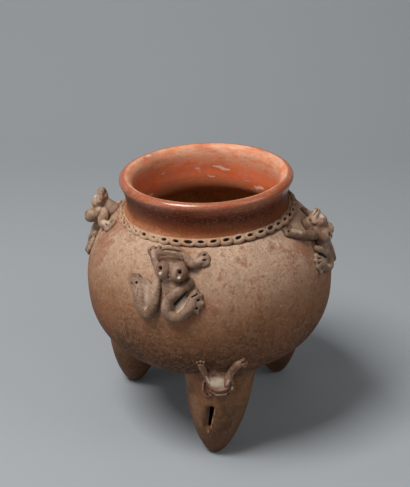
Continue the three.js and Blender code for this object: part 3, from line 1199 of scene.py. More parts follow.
@dataclass
class Vessel:
    """The bowl and its collar neck, both turned from a profile and slightly uneven."""

    site: Site
    neck_set_back: float = 2.3
    waist_draw: float = 3.6
    waist_height: float = 8.0
    neck_height: float = 27.4
    neck_wall: float = 6.6
    lip_flare: float = 4.1
    lip_thickness: float = 7.2
    seat_depth: float = 1.5
    bowl_turning: Turning = Turning(
        sides=180, rows=150, lumps=1.3, lump_scale=22.0, ripples=0.35, ripple_scale=90.0, seed=4.0
    )
    neck_turning: Turning = Turning(
        sides=160, rows=90, lumps=0.9, lump_scale=26.0, ripples=0.2, ripple_scale=110.0, seed=8.0
    )

    # The throat under the lip: distances in from the lip's middle and down from its top.
    LIP_THROAT = ((0.0, 0.0), (2.2, 0.9), (4.2, 3.2), (5.6, 7.0))
    # Its middle: distances out from the narrowest place, and shares of the lip's height.
    MIDDLE_THROAT = ((0.5, 0.62), (0.0, 0.3))
    # Its foot, which opens into the bowl: distances out again, and heights.
    LOWER_THROAT = ((0.1, -1.0), (1.6, -5.0), (6.0, -8.6), (11.0, -10.4))

    @property
    def neck_foot(self) -> float:
        """Radius of the neck's foot."""
        bowl = self.site.bowl
        return float(bowl.radius_at(np.array(bowl.shoulder))) - self.neck_set_back

    def neck_radius(self, height: float) -> float:
        """Outer radius of the neck up to its waist, at a height above its seat."""
        share = min(height / self.waist_height, 1)
        return self.neck_foot - self.waist_draw * math.sin(share * math.pi / 2)

    def neck_profile(self) -> tuple[list, list]:
        """Outlines of the neck's outside, from its foot to the lip's top, and of its throat.

        Returns:
            Radius and height of each point, for either side.
        """
        waist = self.neck_foot - self.waist_draw
        lip_round = self.lip_thickness / 2
        lip_middle = self.neck_height - lip_round
        lip_radius = waist + self.lip_flare - lip_round
        heights = np.linspace(-self.seat_depth, self.waist_height, 10)
        foot = [(self.neck_radius(height), height) for height in heights]
        rise = lip_middle - self.waist_height
        flare = [
            (waist + self.lip_flare * share**2, self.waist_height + rise * share)
            for share in np.linspace(0.1, 0.95, 12)
        ]
        lip = [
            (lip_radius + lip_round * math.cos(turn), lip_middle + lip_round * math.sin(turn))
            for turn in np.linspace(0, math.pi / 2, 9)
        ]
        inner = waist - self.neck_wall
        throat = [
            *((lip_radius - inwards, self.neck_height - down) for inwards, down in self.LIP_THROAT),
            *((inner + outwards, rise * share) for outwards, share in self.MIDDLE_THROAT),
            *((inner + outwards, height) for outwards, height in self.LOWER_THROAT),
        ]
        return [*foot, *flare, *lip], [tuple(row) for row in through(throat, 5)[1:]]

    def build(self, tree: TurnedTree, finishing: Finishing) -> None:
        """Makes and dresses the bowl and the neck.

        Args:
            tree: turns them.
            finishing: dresses them.
        """
        place = self.site.bowl_place()
        finish = finishing.material(BOWL_CLAY)
        bowl = tree.turn("bowl", *self.site.bowl.profile(), self.bowl_turning, finish)
        bowl.transform(in_metres(place))
        finishing.dress(placed("bowl_shell", bowl), BOWL_CLAY, VASE, "bare_clay", "bowl")

        outside, inside = self.neck_profile()
        finish = finishing.material(NECK_SLIP)
        neck = tree.turn("neck", outside, [*inside, outside[0]], self.neck_turning, finish)
        neck.transform(in_metres(place @ Matrix.Translation((0, 0, self.site.bowl.shoulder))))
        finishing.dress(placed("collar_neck", neck), NECK_SLIP, VASE, "red_slip", "neck")


class LinkTree(GeometryTree):
    """Geometry nodes that lay punched links round a ring, on a band of clay."""

    # The kinds of links: half the hole's width, for a link of radius 1, and its share of the punch.
    HOLES = ((0.58, 1.0), (0.46, 0.85), (0.34, 0.6))
    HOLE_RISE = 0.22
    HOLE_HEIGHT = 0.82
    # The links' sway and their shares of length, thickness and height.
    SWAY = (-0.12, 0.2)
    SMALLEST = (0.9, 0.85, 0.88)
    LARGEST = (1.08, 1.12, 1.1)
    # The stretch of the ring with shallower punches, as shares of it: its middle and half its length.
    SHALLOW = (0.56, 0.14)
    # The band: how far inside the ring, in link thicknesses, and its radius, in link heights.
    BAND_INSET = 0.8
    BAND_RADIUS = 0.3

    def __init__(self) -> None:
        """Builds the tree."""
        link = ("Link Length", "Link Height", "Link Thickness", "Punch Depth", "Lay Back")
        super().__init__("pinched_links", {
            "Links": "Int", **dict.fromkeys(("Ring Radius", *link), "Float"), "Seed": "Int",
        })
        nodes, value = self.nodes, self.value
        links, radius, seed = value["Links"], value["Ring Radius"], value["Seed"]

        kinds = self.join([self._link(width, share) for width, share in reversed(self.HOLES)])
        ring = nodes.add(
            "GeometryNodeMeshCircle", {"fill_type": "NONE"}, {"Vertices": links, "Radius": radius}
        )
        around = nodes.number("GeometryNodeInputIndex") / links
        sway = self._drawn("FLOAT", *self.SWAY, seed).outputs[1]
        size = self._drawn("FLOAT_VECTOR", self.SMALLEST, self.LARGEST, seed + 1)
        kind = Value(nodes, self._drawn("INT", 0, 1, seed + 2).outputs[2])
        turn = around * (2 * math.pi) - math.pi / 2
        lie = nodes.add("ShaderNodeCombineXYZ", {}, {"X": value["Lay Back"], "Y": sway, "Z": turn})
        laid = nodes.add("GeometryNodeInstanceOnPoints", {}, {
            "Points": ring, "Instance": kinds, "Pick Instance": True,
            "Instance Index": kind + nodes.math("COMPARE", around, *self.SHALLOW),
            "Rotation": lie, "Scale": size,
        })
        circle = "GeometryNodeCurvePrimitiveCircle"
        core = nodes.add(circle, {"mode": "RADIUS"}, {
            "Resolution": 140, "Radius": radius - value["Link Thickness"] * self.BAND_INSET,
        })
        section = nodes.add(circle, {"mode": "RADIUS"}, {
            "Resolution": 14, "Radius": value["Link Height"] * self.BAND_RADIUS,
        })
        band = nodes.add("GeometryNodeCurveToMesh", {}, {"Curve": core, "Profile Curve": section})
        self.finish(self.join([laid, band]))

    def _drawn(self, kind: str, low: float | tuple, high: float | tuple, seed: Value) -> Node:
        """Adds a seeded random value between two."""
        inputs = {"Min": low, "Max": high, "Seed": seed}
        return self.nodes.add("FunctionNodeRandomValue", {"data_type": kind}, inputs)

    def _link(self, width: float, share: float) -> Node:
        """Adds one kind of link: a ball with a hole punched in its upper half.

        Args:
            width: half the hole's width, for a ball of radius 1.
            share: share of the full punch.

        Returns:
            The node that gives the link as an instance.
        """
        nodes, value = self.nodes, self.value
        ball = nodes.add("GeometryNodeMeshUVSphere", {}, {"Segments": 30, "Rings": 22, "Radius": 1.0})
        x, y, z = nodes.split(nodes.add("GeometryNodeInputPosition"))
        oval = (x / width) ** 2.0 + ((z - self.HOLE_RISE) / (self.HOLE_HEIGHT * width)) ** 2.0
        punched = (1 - oval.between(0.4, 1.3)) * y.between(0.0, 0.3) * share
        shape = nodes.add("ShaderNodeCombineXYZ", {}, {
            "X": x * value["Link Length"] * 0.5,
            "Y": y * value["Link Thickness"] * 0.5 - punched * value["Punch Depth"],
            "Z": z * value["Link Height"] * 0.5,
        })
        # The punched holes are painted dark, as painted shade in them.
        shaded_holes = nodes.add(
            "GeometryNodeStoreNamedAttribute", {"data_type": "FLOAT"},
            {"Geometry": ball, "Name": "wear", "Value": punched.between(0.2, 0.8)},
        )
        link = nodes.add("GeometryNodeSetPosition", {}, {"Geometry": shaded_holes, "Position": shape})
        return nodes.add("GeometryNodeGeometryToInstance", {}, {0: link})


@dataclass
class NeckStrip:
    """The strip of pinched links round the foot of the neck.

    Attributes:
        vessel: the vessel that carries it.
        links: how many links it has.
        height: a link's height.
        thickness: a link's thickness.
        overlap: a link's length as a share of the distance between two.
        punch: depth of the holes.
        off_neck: the ring's distance from the neck's foot.
        off_seat: the ring's height above the neck's seat.
        lay_back: how far the links lean back, in degrees.
        droop: how far the ring slants, in degrees.
    """

    vessel: Vessel
    links: int = 46
    height: float = 5.6
    thickness: float = 3.4
    overlap: float = 1.12
    punch: float = 2.3
    off_neck: float = 1.1
    off_seat: float = 2.0
    lay_back: float = 32.0
    droop: float = -1.4

    def build(self, tree: LinkTree, finishing: Finishing) -> None:
        """Makes and dresses the strip.

        Args:
            tree: lays the links.
            finishing: dresses the strip.
        """
        site = self.vessel.site
        radius = self.vessel.neck_foot + self.off_neck
        pitch = 2 * math.pi * (radius + self.thickness / 2) / self.links
        mesh = tree.run(placed("strip_seat", bpy.data.meshes.new("strip_seat")), {
            "Links": self.links, "Ring Radius": radius * MM, "Link Length": self.overlap * pitch * MM,
            "Link Height": self.height * MM, "Link Thickness": self.thickness * MM,
            "Punch Depth": self.punch * MM, "Lay Back": math.radians(self.lay_back), "Seed": 5,
            "Finish": finishing.material(STRIP_CLAY),
        })
        seat = site.bowl_place() @ Matrix.Translation((0, 0, site.bowl.shoulder + self.off_seat))
        mesh.transform(in_metres(seat @ rotation(self.droop, "Y")))
        finishing.dress(placed("pinched_strip", mesh), STRIP_CLAY, VASE, "strip_clay", "neck_strip")


# The frogs on the shoulder


class Side(Enum):
    """A frog's two sides, each with its sign along the surface."""

    LEFT = -1
    RIGHT = 1

    @property
    def word(self) -> str:
        """The side's name."""
        return self.name.lower()

    def swapped(self, mirrored: bool) -> Side:
        """The side as it is named on a mirrored frog."""
        return Side(-self.value) if mirrored else self


@dataclass(frozen=True)
class Mould:
    """Measures of one piece of a frog, in millimetres.

    A place is [sideways, along, out] on the surface that carries the frog, where along counts
    down from the neck's seat on the shoulder, and up from the foot's top on a foot.

    Attributes:
        rolls: rolls of clay, each a row of places with a radius.
        pads: flattened balls, each a [width, length, thickness] and a place.
        dents: marks, each a start and an end place, half its width, its depth and how it is painted:
            above 0 dark, for dirt and painted shade, and below 0 pale, for dust and painted light.
    """

    rolls: tuple = ()
    pads: tuple = ()
    dents: tuple = ()


HIP_LINE = 25

FROG_TRUNK = (
    ((12.5, 17, 8.6), (1, 25.2, 0.6)),
    ((7, 13, 6.4), (-0.6, 30.5, 0.2)),
    ((17.5, 17.5, 9.6), (1.6, 16.6, 4)),
    ((14, 11, 9), (0.2, 13, 0.8)),
)
FROG_THROAT = ((0.2, 9.5, 0, 6), (0.2, 11, 5, 4.8))
FROG_BODIES = {
    "open": Mould(
        rolls=(
            ((-8, 11.6, 4.6, 1.5), (-6.8, 9.8, 7, 1.8), (-3.4, 9.2, 8.6, 2), (0.6, 9, 9, 2),
             (4, 9.2, 8.3, 1.9), (6.6, 11, 6, 1.6)),
            ((-8.8, 9.2, 3, 1.3), (-7.4, 6.6, 4.6, 1.4), (-2.8, 5.1, 5.8, 1.5), (1.8, 4.9, 5.6, 1.5),
             (4.8, 6.2, 4.8, 1.4), (6.8, 8.8, 3.8, 1.4)),
            FROG_THROAT,
        ),
        pads=(
            *FROG_TRUNK,
            ((15, 8, 8), (-0.6, 11, 5)),
            ((13, 7.5, 5.5), (-0.8, 7.2, 2.6)),
            ((12.5, 5.5, 8.5), (-0.8, 8.6, 3.9)),
        ),
        dents=(
            ((-6.4, 7.4, 7), (4.6, 7, 7), 0.9, 2.2, 0.75),
            ((0.8, 22.3, 6), (0.8, 22.4, 6), 0.6, 1.4, 1),
            ((-5, 13.4, 8), (6, 12.8, 8), 1.4, 0.8, 0.35),
        ),
    ),
    "shut": Mould(
        rolls=(
            ((-5, 8.6, 5.4, 2.2), (-2.6, 6.8, 7, 2.5), (0.6, 6.4, 7.4, 2.6), (3.6, 7, 6.8, 2.4),
             (5.8, 9, 5.2, 2)),
            FROG_THROAT,
        ),
        pads=(
            *FROG_TRUNK,
            ((15, 11, 9), (0, 11.4, 6)),
            ((12, 9, 8), (0, 8.6, 4.6)),
        ),
        dents=(
            ((-5.6, 6.2, 7), (5.6, 6.2, 7), 0.5, 1.2, 0.5),
            ((-1.2, 5.2, 9), (-1.1, 5.2, 9), 0.5, 1, 1),
            ((0.8, 22.3, 6), (0.8, 22.4, 6), 0.6, 1.4, 1),
            # A pale patch on the snout's top: painted highlight.
            ((0, 8.8, 11), (1, 9.4, 11), 2.6, 0.1, -0.7),
        ),
    ),
}
# Each eye is a pad with a lid crease, a pupil hole painted dark as painted shade, and a painted
# highlight: a pale mark barely pressed in under the pupil.
FROG_EYES = {
    Side.LEFT: Mould(
        pads=(((9.6, 11.6, 10.4), (-3, 18.6, 7.2)),),
        dents=(
            ((-3.2, 18.2, 12.4), (-3.1, 20, 12), 1.3, 1.2, 0.1),
            ((-3.3, 18.2, 12.5), (-3.3, 18.3, 12.5), 1, 2.4, 1),
            ((-3.1, 20.6, 11.8), (-3.1, 20.8, 11.8), 0.9, 0.15, -0.9),
        ),
    ),
    Side.RIGHT: Mould(
        pads=(((11, 12, 11), (6.6, 18.8, 7.4)),),
        dents=(
            ((7.7, 19.2, 13.2), (7.6, 21.2, 12.6), 1.5, 1.2, 0.2),
            ((7.9, 19.2, 13.2), (7.9, 19.3, 13.2), 1.2, 2.4, 1),
            ((7.7, 21.8, 12.4), (7.7, 22, 12.4), 1.1, 0.15, -0.9),
        ),
    ),
}
FROG_HIND_LEGS = {
    Side.LEFT: Mould(
        rolls=(
            ((-7.4, 25, 1.4, 2.8), (-8.2, 30, 2.2, 3.2), (-8.4, 36, 2.5, 3.4), (-9.4, 42, 2.5, 3.5),
             (-12.8, 45.8, 2.3, 3.6), (-16.6, 43.2, 1.7, 3.7), (-18.9, 38.4, 0.8, 4.4),
             (-20.4, 33, 0.1, 4.8), (-22.6, 29, 0, 4.7)),
            ((-24.6, 28.2, 1.6, 1.4), (-27, 27, 0.9, 1.4)),
            ((-24, 27, 1.6, 1.4), (-25.6, 24.6, 0.9, 1.4)),
            ((-22.8, 27, 1.6, 1.4), (-22.6, 24.4, 0.9, 1.4)),
        ),
        pads=(
            ((15, 19, 3.9), (-17.2, 33.8, 0.4)),
            ((6.5, 10, 3.6), (-13.6, 38.5, 0.5)),
            ((9, 9.5, 4.8), (-23.8, 28.6, 0.6)),
        ),
        dents=(
            ((-14.4, 30, -0.8), (-13, 43, -0.8), 2.2, 0.1, -0.45),
            ((-24.5, 29.8, 3.6), (-24.5, 30.1, 3.6), 0.85, 1.9, 1),
            ((-21, 28.5, 4.4), (-21, 28.8, 4.4), 0.85, 1.9, 1),
            ((-19.2, 31.6, 4.6), (-18.8, 36.4, 4.6), 0.35, 0.45, 0.5),
        ),
    ),
    Side.RIGHT: Mould(
        rolls=(
            ((12.6, 24.4, 1.5, 3.2), (8.5, 28.7, 2.4, 3.5), (3.4, 33, 2.7, 3.6), (0.2, 38.2, 2.7, 3.5),
             (0.3, 42.8, 2.5, 3.5), (4.1, 45.3, 2.3, 3.5), (8.9, 44.5, 2.1, 3.5), (12.6, 41.3, 1.9, 3.4),
             (15, 37, 1.7, 3.4), (16.6, 33.2, 1.4, 3.3)),
            ((15.8, 31.4, 1.8, 1.5), (17.4, 28.4, 0.9, 1.5)),
            ((17.2, 32.2, 1.8, 1.4), (20.4, 31.2, 0.9, 1.4)),
            ((17.4, 36, 1.8, 1.5), (21.2, 36.6, 0.9, 1.5)),
            ((16.4, 39.6, 1.8, 1.4), (19.4, 42.2, 0.8, 1.4)),
        ),
        pads=(
            ((13, 16, 3.8), (7.2, 37.6, 0.3)),
            ((9, 14, 4.8), (17, 35, 0.8)),
        ),
        dents=(
            ((11, 32.4, -0.8), (7.4, 40.6, -0.8), 3.4, 0.1, -0.6),
            # A groove along the thigh's lower edge, painted dark as the thigh's shadow.
            ((12, 29.4, 2.4), (4.6, 37.4, 2), 0.9, 0.7, 0.8),
            ((15.4, 32.4, 2.5), (18.2, 30.8, 2.5), 0.55, 1.3, 0.9),
            ((19, 34.2, 2), (19.3, 34.2, 2), 0.8, 1.8, 1),
            ((18.2, 39.2, 2), (18.6, 39.4, 2), 0.8, 1.8, 1),
        ),
    ),
}
FROG_FORELEGS = {
    Side.LEFT: Mould(
        rolls=(
            ((-7.4, 17.6, 4, 2.6), (-10, 14.6, 3, 2.6), (-12.4, 11.4, 2, 2.6), (-14, 8.8, 1.3, 2.7)),
            ((-15.4, 7.8, 1.6, 1.4), (-18, 7.6, 0.9, 1.3)),
            ((-14.6, 6.6, 1.6, 1.4), (-15.6, 4.6, 0.9, 1.3)),
            ((-13.2, 6.6, 1.6, 1.3), (-11.4, 3.8, 0.9, 1.2)),
        ),
        pads=(((8.5, 7.5, 4.4), (-14.2, 7.6, 0.7)),),
        dents=(
            ((-14, 8, 2), (-12.4, 11, 3), 2.4, 0.1, -0.36),
            ((-16.5, 6.9, 1.8), (-16.2, 7.1, 1.8), 0.7, 1.8, 1),
            ((-13, 5, 1.8), (-13, 5.3, 1.8), 0.7, 1.8, 1),
        ),
    ),
    Side.RIGHT: Mould(
        rolls=(
            ((4.6, 8.8, 6.2, 2.2), (7.4, 9, 4.8, 2.6), (9.9, 11.3, 3.8, 2.9), (12.4, 13, 3, 2.8),
             (15.4, 11.8, 2, 2.6), (17.8, 9.8, 1.3, 2.6)),
            ((17.6, 7.6, 1.6, 1.3), (18.6, 5, 0.9, 1.3)),
            ((19, 8.8, 1.6, 1.3), (21.2, 8, 0.9, 1.3)),
            ((18.8, 10.8, 1.6, 1.3), (21.6, 11.6, 0.9, 1.2)),
        ),
        pads=(((8.6, 10.5, 3.8), (18.6, 9, 0.6)),),
        dents=(
            ((18.6, 8.8, 1.8), (15.6, 10.8, 2.4), 2.8, 0.1, -0.4),
            ((18.2, 7, 1.8), (19.4, 6.6, 1.8), 0.55, 1.6, 1),
            ((18.9, 10.4, 1.8), (20.2, 10, 1.8), 0.6, 1.6, 1),
        ),
    ),
}


@dataclass(frozen=True)
class Crouch:
    """How one shoulder frog sits.

    Attributes:
        name: its name.
        azimuth: where it sits round the bowl, in degrees.
        mirrored: whether its left and right limbs are changed over.
        mouth: whether its mouth is "open" or "shut".
        head: how far the head is moved down the slope and outwards.
        tilt: how much further out the snout is held.
        arms: how much further the left and right hand reach, as shares of the arm.
        swapped_arms: whether the left and right arm's moulds are changed over.
        spread: shares of the left and right hind leg's spread.
        stride: share of the hind legs' length.
        relief: share of the limbs' thickness.
        eyes: shares of the left and right eye's size.
        powder: how dusty it is all over.
    """

    name: str
    azimuth: float
    mirrored: bool = False
    mouth: str = "shut"
    head: tuple[float, float] = (0.0, 0.0)
    tilt: float = 0.0
    arms: tuple[float, float] = (0.0, 0.0)
    swapped_arms: bool = False
    spread: tuple[float, float] = (1.0, 1.0)
    stride: float = 1.0
    relief: float = 1.0
    eyes: tuple[float, float] = (1.0, 1.0)
    powder: float = 0.0


class Frog:
    """What both kinds of frog share: clay made from moulds on the surface that carries it."""

    blend = 1.1
    skirt = 1.0
    uneven = 0.12
    roll_steps = 4
    soiling = 0.65
    powder = 0.0

    def __init__(self, owner: str, ground: Field, cell: float) -> None:
        """Keeps the frog's name, the surface that carries it and the grid's size.

        Args:
            owner: the frog's name.
            ground: signed distance from the surface that carries it.
            cell: size of its clay's grid.
        """
        self.owner = owner
        self.ground = ground
        self.cell = cell

    def spot(self, sideways: float, along: float, out: float) -> tuple[np.ndarray, np.ndarray]:
        """A place's point, with the directions across, along and outwards there."""
        raise NotImplementedError

    def clay(self, part: str, mould: Mould, moved: Callable = tuple, girth: float = 1.0) -> ClayPiece:
        """Lays a mould's rolls, pads and marks on the surface.

        Args:
            part: the piece's part of the frog.
            mould: its measures.
            moved: moves a place.
            girth: share of the rolls' and pads' thickness.

        Returns:
            The piece's clay.
        """
        parts: list[Roll | Lump] = []
        for rows in mould.rolls:
            dense = through([(*moved(row[:3]), girth * row[3]) for row in rows], self.roll_steps)
            parts.append(Roll(np.array([self.spot(*row[:3])[0] for row in dense]), dense[:, 3]))
        for size, place in mould.pads:
            point, sides = self.spot(*moved(place))
            parts.append(Lump(point, sides, np.asarray(size) * (1, 1, girth) / 2))
        dents = []
        for start, end, width, depth, wear in mould.dents:
            point, sides = self.spot(*moved(start))
            dents.append(Dent(point, self.spot(*moved(end))[0], -sides[2], width, depth, wear))
        return ClayPiece(
            f"{self.owner}_{part}_clay", parts, dents, self.ground, blend=self.blend,
            skirt=self.skirt, cell=self.cell, uneven=self.uneven, soiling=self.soiling,
            powder=self.powder,
        )


class ShoulderFrog(Frog):
    """A frog pressed onto the shoulder: body, eyes, forelegs and hind legs."""

    # Half the stretch of the slope over which a place's directions are found.
    PROBE = 0.5
    # Down the slope: where the head ends, where the trunk is, and how long the snout is.
    HEAD_END = 20
    TRUNK = 25
    SNOUT = 11
    # How far the trunk stays behind, and the heights between which clay comes off its seat.
    TRUNK_LAG = 0.5
    OFF_SEAT = (-1.0, 3.0)
    # An arm: where it leaves the body, its reach, its rise as it reaches on, and its swelling.
    ARM_FROM = 6
    ARM = 14
    ARM_RISE = 0.25
    ARM_SWELL = 0.4

    def __init__(self, site: Site, crouch: Crouch, cell: float) -> None:
        """Lays out the bowl's outline for places on it.

        Args:
            site: where the vase stands.
            crouch: how the frog sits.
            cell: size of its clay's grid.
        """
        super().__init__(f"{crouch.name}_frog", site.bowl.distance, cell)
        self.site = site
        self.crouch = crouch
        self.downs, self.heights, self.radii = site.bowl.meridian()
        self.turn = math.radians(crouch.azimuth)
        self.flip = -1 if crouch.mirrored else 1
        self.powder = crouch.powder

    def spot(self, sideways: float, along: float, out: float) -> tuple[np.ndarray, np.ndarray]:
        """A place on the shoulder.

        Args:
            sideways: distance along the bowl from the frog's middle.
            along: surface distance below the neck's seat.
            out: distance off the surface.

        Returns:
            The point, and the directions across, up the slope and outwards as rows.
        """
        near = np.array([along - self.PROBE, along, along + self.PROBE])
        above_height, height, below_height = np.interp(near, self.downs, self.heights)
        above_radius, radius, below_radius = np.interp(near, self.downs, self.radii)
        azimuth = self.turn + self.flip * sideways / radius
        outward = np.array([math.sin(azimuth), -math.cos(azimuth), 0.0])
        across = np.array([math.cos(azimuth), math.sin(azimuth), 0.0])
        upslope = outward * (above_radius - below_radius)
        upslope[2] = above_height - below_height
        upslope /= np.linalg.norm(upslope)
        normal = np.cross(across, upslope)
        point = outward * radius + normal * out
        point[2] += height
        return point, np.stack([self.flip * across, upslope, normal])

    def on_head(self, place: Sequence[float]) -> tuple[float, ...]:
        """Moves a place with the head, by half as much at the trunk and hardly at the seat.

        Args:
            place: distances sideways, down the slope and out.

        Returns:
            The moved place.
        """
        sideways, down, out = place
        share = 1 - self.TRUNK_LAG * float(ease(np.array(down), self.HEAD_END, self.TRUNK))
        tilted = self.crouch.tilt * max(self.HEAD_END - down, 0) / self.SNOUT
        raised = share * self.crouch.head[1] + tilted
        off_seat = float(ease(np.array(out), *self.OFF_SEAT))
        return sideways, down + share * self.crouch.head[0], out + raised * off_seat

    def on_hind_leg(self, side: Side) -> Callable:
        """Moves places of a hind leg by its spread, stride and relief.

        Args:
            side: the leg's side in the moulds.

        Returns:
            What moves a place.
        """
        crouch = self.crouch
        spread = crouch.spread[side is Side.RIGHT]
        return lambda place: (
            spread * place[0],
            HIP_LINE + crouch.stride * (place[1] - HIP_LINE),
            crouch.relief * place[2],
        )

    def foreleg(self, side: Side) -> ClayPiece:
        """Makes a foreleg's clay, with its hand moved outwards by the arm's reach.

        Args:
            side: the side to which the hand reaches.

        Returns:
            The foreleg's clay.
        """
        crouch = self.crouch
        reach = crouch.arms[side is Side.RIGHT]
        flip = -1 if crouch.swapped_arms else 1
        mould = FROG_FORELEGS[side.swapped(crouch.swapped_arms)]

        def moved(place: Sequence[float]) -> tuple[float, ...]:
            """Changes the sides over and moves what lies off the body outwards."""
            sideways, down, out = place
            away = reach * self.ARM * float(ease(np.array(abs(sideways)), self.ARM_FROM, self.ARM))
            return flip * sideways + side.value * away, down - self.ARM_RISE * away, out

        name = side.swapped(crouch.mirrored).word
        return self.clay(f"{name}_foreleg", mould, moved, 1 + self.ARM_SWELL * max(reach, 0))

    def build(self, finishing: Finishing) -> None:
        """Makes and dresses the frog's pieces.

        Args:
            finishing: dresses them.
        """
        crouch = self.crouch
        made = {"body": self.clay("body", FROG_BODIES[crouch.mouth], self.on_head)}
        for side in Side:
            name = side.swapped(crouch.mirrored).word
            size = crouch.eyes[side is Side.RIGHT]
            eye = FROG_EYES[side]
            pads = tuple((tuple(size * length for length in ball), place) for ball, place in eye.pads)
            eye = Mould(pads=pads, dents=eye.dents)
            made[f"{name}_eye"] = self.clay(f"{name}_eye", eye, self.on_head)
            made[f"{name}_hindleg"] = self.clay(
                f"{name}_hindleg", FROG_HIND_LEGS[side], self.on_hind_leg(side), crouch.relief)
            made[f"{name}_foreleg"] = self.foreleg(side)
        for part, clay in made.items():
            item = clay.build(self.site.bowl_place())
            finishing.dress(item, FROG_CLAY, VASE, "frog_clay", f"{self.owner}_{part}")


# The feet


@dataclass(frozen=True)
class FootForm:
    """A foot's outline in its own frame, which looks out from the vase's axis.

    Attributes:
        name: the foot's name.
        azimuth: where it stands round the axis, in degrees.
        reach: the tip's distance from the axis.
        sideways: how far its top is drawn sideways.
        radius: radius at the swell.
        swell_height: height of the swell, above which it is straight.
        tip_radius: radius at the ground.
        fullness: how soon it swells above the tip.
        taper: how blunt the tip is.
        wall: wall thickness.
        tip_depth: height of the chamber's floor.
        splay: how far its top is drawn in.
    """

    name: str
    azimuth: float
    reach: float
    sideways: float = 0.0
    radius: float = 22.8
    swell_height: float = 56.0
    tip_radius: float = 3.5
    fullness: float = 1.7
    taper: float = 0.72
    wall: float = 5.5
    tip_depth: float = 7.0
    splay: float = 6.4

    # Rows of the swell, of the straight stretch above it and of the chamber's two stretches.
    SWELL_ROWS = 48
    STRAIGHT_ROWS = 14
    CHAMBER_ROWS = 26
    CHAMBER_STRAIGHT_ROWS = 6
    # How closely the rows stand at the tip, outside and in the chamber.
    TIP_CROWDING = 1.7
    FLOOR_CROWDING = 1.5
    # The flat under the tip, as a share of the tip's radius, and the height of its rounding.
    TIP_FLAT = 0.7
    TIP_ROUND = 0.25

    @classmethod
    def found(cls, name: str, site: Site, sideways: float) -> FootForm:
        """Finds a foot from the mount at its tip.

        Args:
            name: the foot's name.
            site: where the vase stands.
            sideways: how far its top is drawn sideways.

        Returns:
            The foot's outline.
        """
        mounts = {mount["name"]: mount["pos_m"] for mount in frame["record"]["mounts"]}
        x, y = (mounts[name][i] / MM - site.axis[i] for i in range(2))
        return cls(name, math.degrees(math.atan2(x, -y)), math.hypot(x, y), sideways)

    def radius_at(self, height: np.ndarray, radius: float, floor: float) -> np.ndarray:
        """Radius of a shell at heights above the ground.

        Args:
            height: the heights.
            radius: the shell's radius at the swell.
            floor: the height of its lowest point.

        Returns:
            The radii.
        """
        share = np.clip((height - floor) / (self.swell_height - floor), 0, 1)
        swell = (1 - (1 - share) ** self.fullness) ** self.taper
        return self.tip_radius + (radius - self.tip_radius) * swell

    def outer_radius(self, height: float) -> float:
        """Radius of the outside at one height."""
        return float(self.radius_at(np.array(height), self.radius, 0))

    def axis_at(self, height: np.ndarray) -> tuple[np.ndarray, np.ndarray]:
        """Sideways and outward place of the foot's own axis at heights."""
        share = height / self.swell_height
        return self.sideways * share, -self.reach + self.splay * share

    def distance(self, points: Points) -> np.ndarray:
        """Signed distance from the foot's outside, close near it."""
        x, y = self.axis_at(points[:, 2])
        around = np.hypot(points[:, 0] - x, points[:, 1] - y)
        return around - self.radius_at(points[:, 2], self.radius, 0)

    def profile(self, top: float) -> tuple[list, list]:
        """Outlines of the foot's outside, from the tip up, and of its chamber, from the top down.

        Args:
            top: the height at which both end.

        Returns:
            Radius and height of each point, for either side.
        """
        rows = [(0.0, 0.0), (self.tip_radius * self.TIP_FLAT, 0.0)]
        for share in np.linspace(0, 1, self.SWELL_ROWS) ** self.TIP_CROWDING:
            height = max(share * self.swell_height, self.TIP_ROUND)
            rows.append((self.outer_radius(height), height))
        straight = np.linspace(self.swell_height, top, self.STRAIGHT_ROWS)
        rows += [(self.radius, height) for height in straight[1:]]
        inner = self.radius - self.wall
        straight = np.linspace(top, self.swell_height, self.CHAMBER_STRAIGHT_ROWS)
        chamber = [(inner, height) for height in straight]
        for share in (np.linspace(1, 0, self.CHAMBER_ROWS) ** self.FLOOR_CROWDING)[1:]:
            height = self.tip_depth + share * (self.swell_height - self.tip_depth)
            chamber.append((float(self.radius_at(np.array(height), inner, self.tip_depth)), height))
        return rows, [*chamber, (0.0, self.tip_depth)]


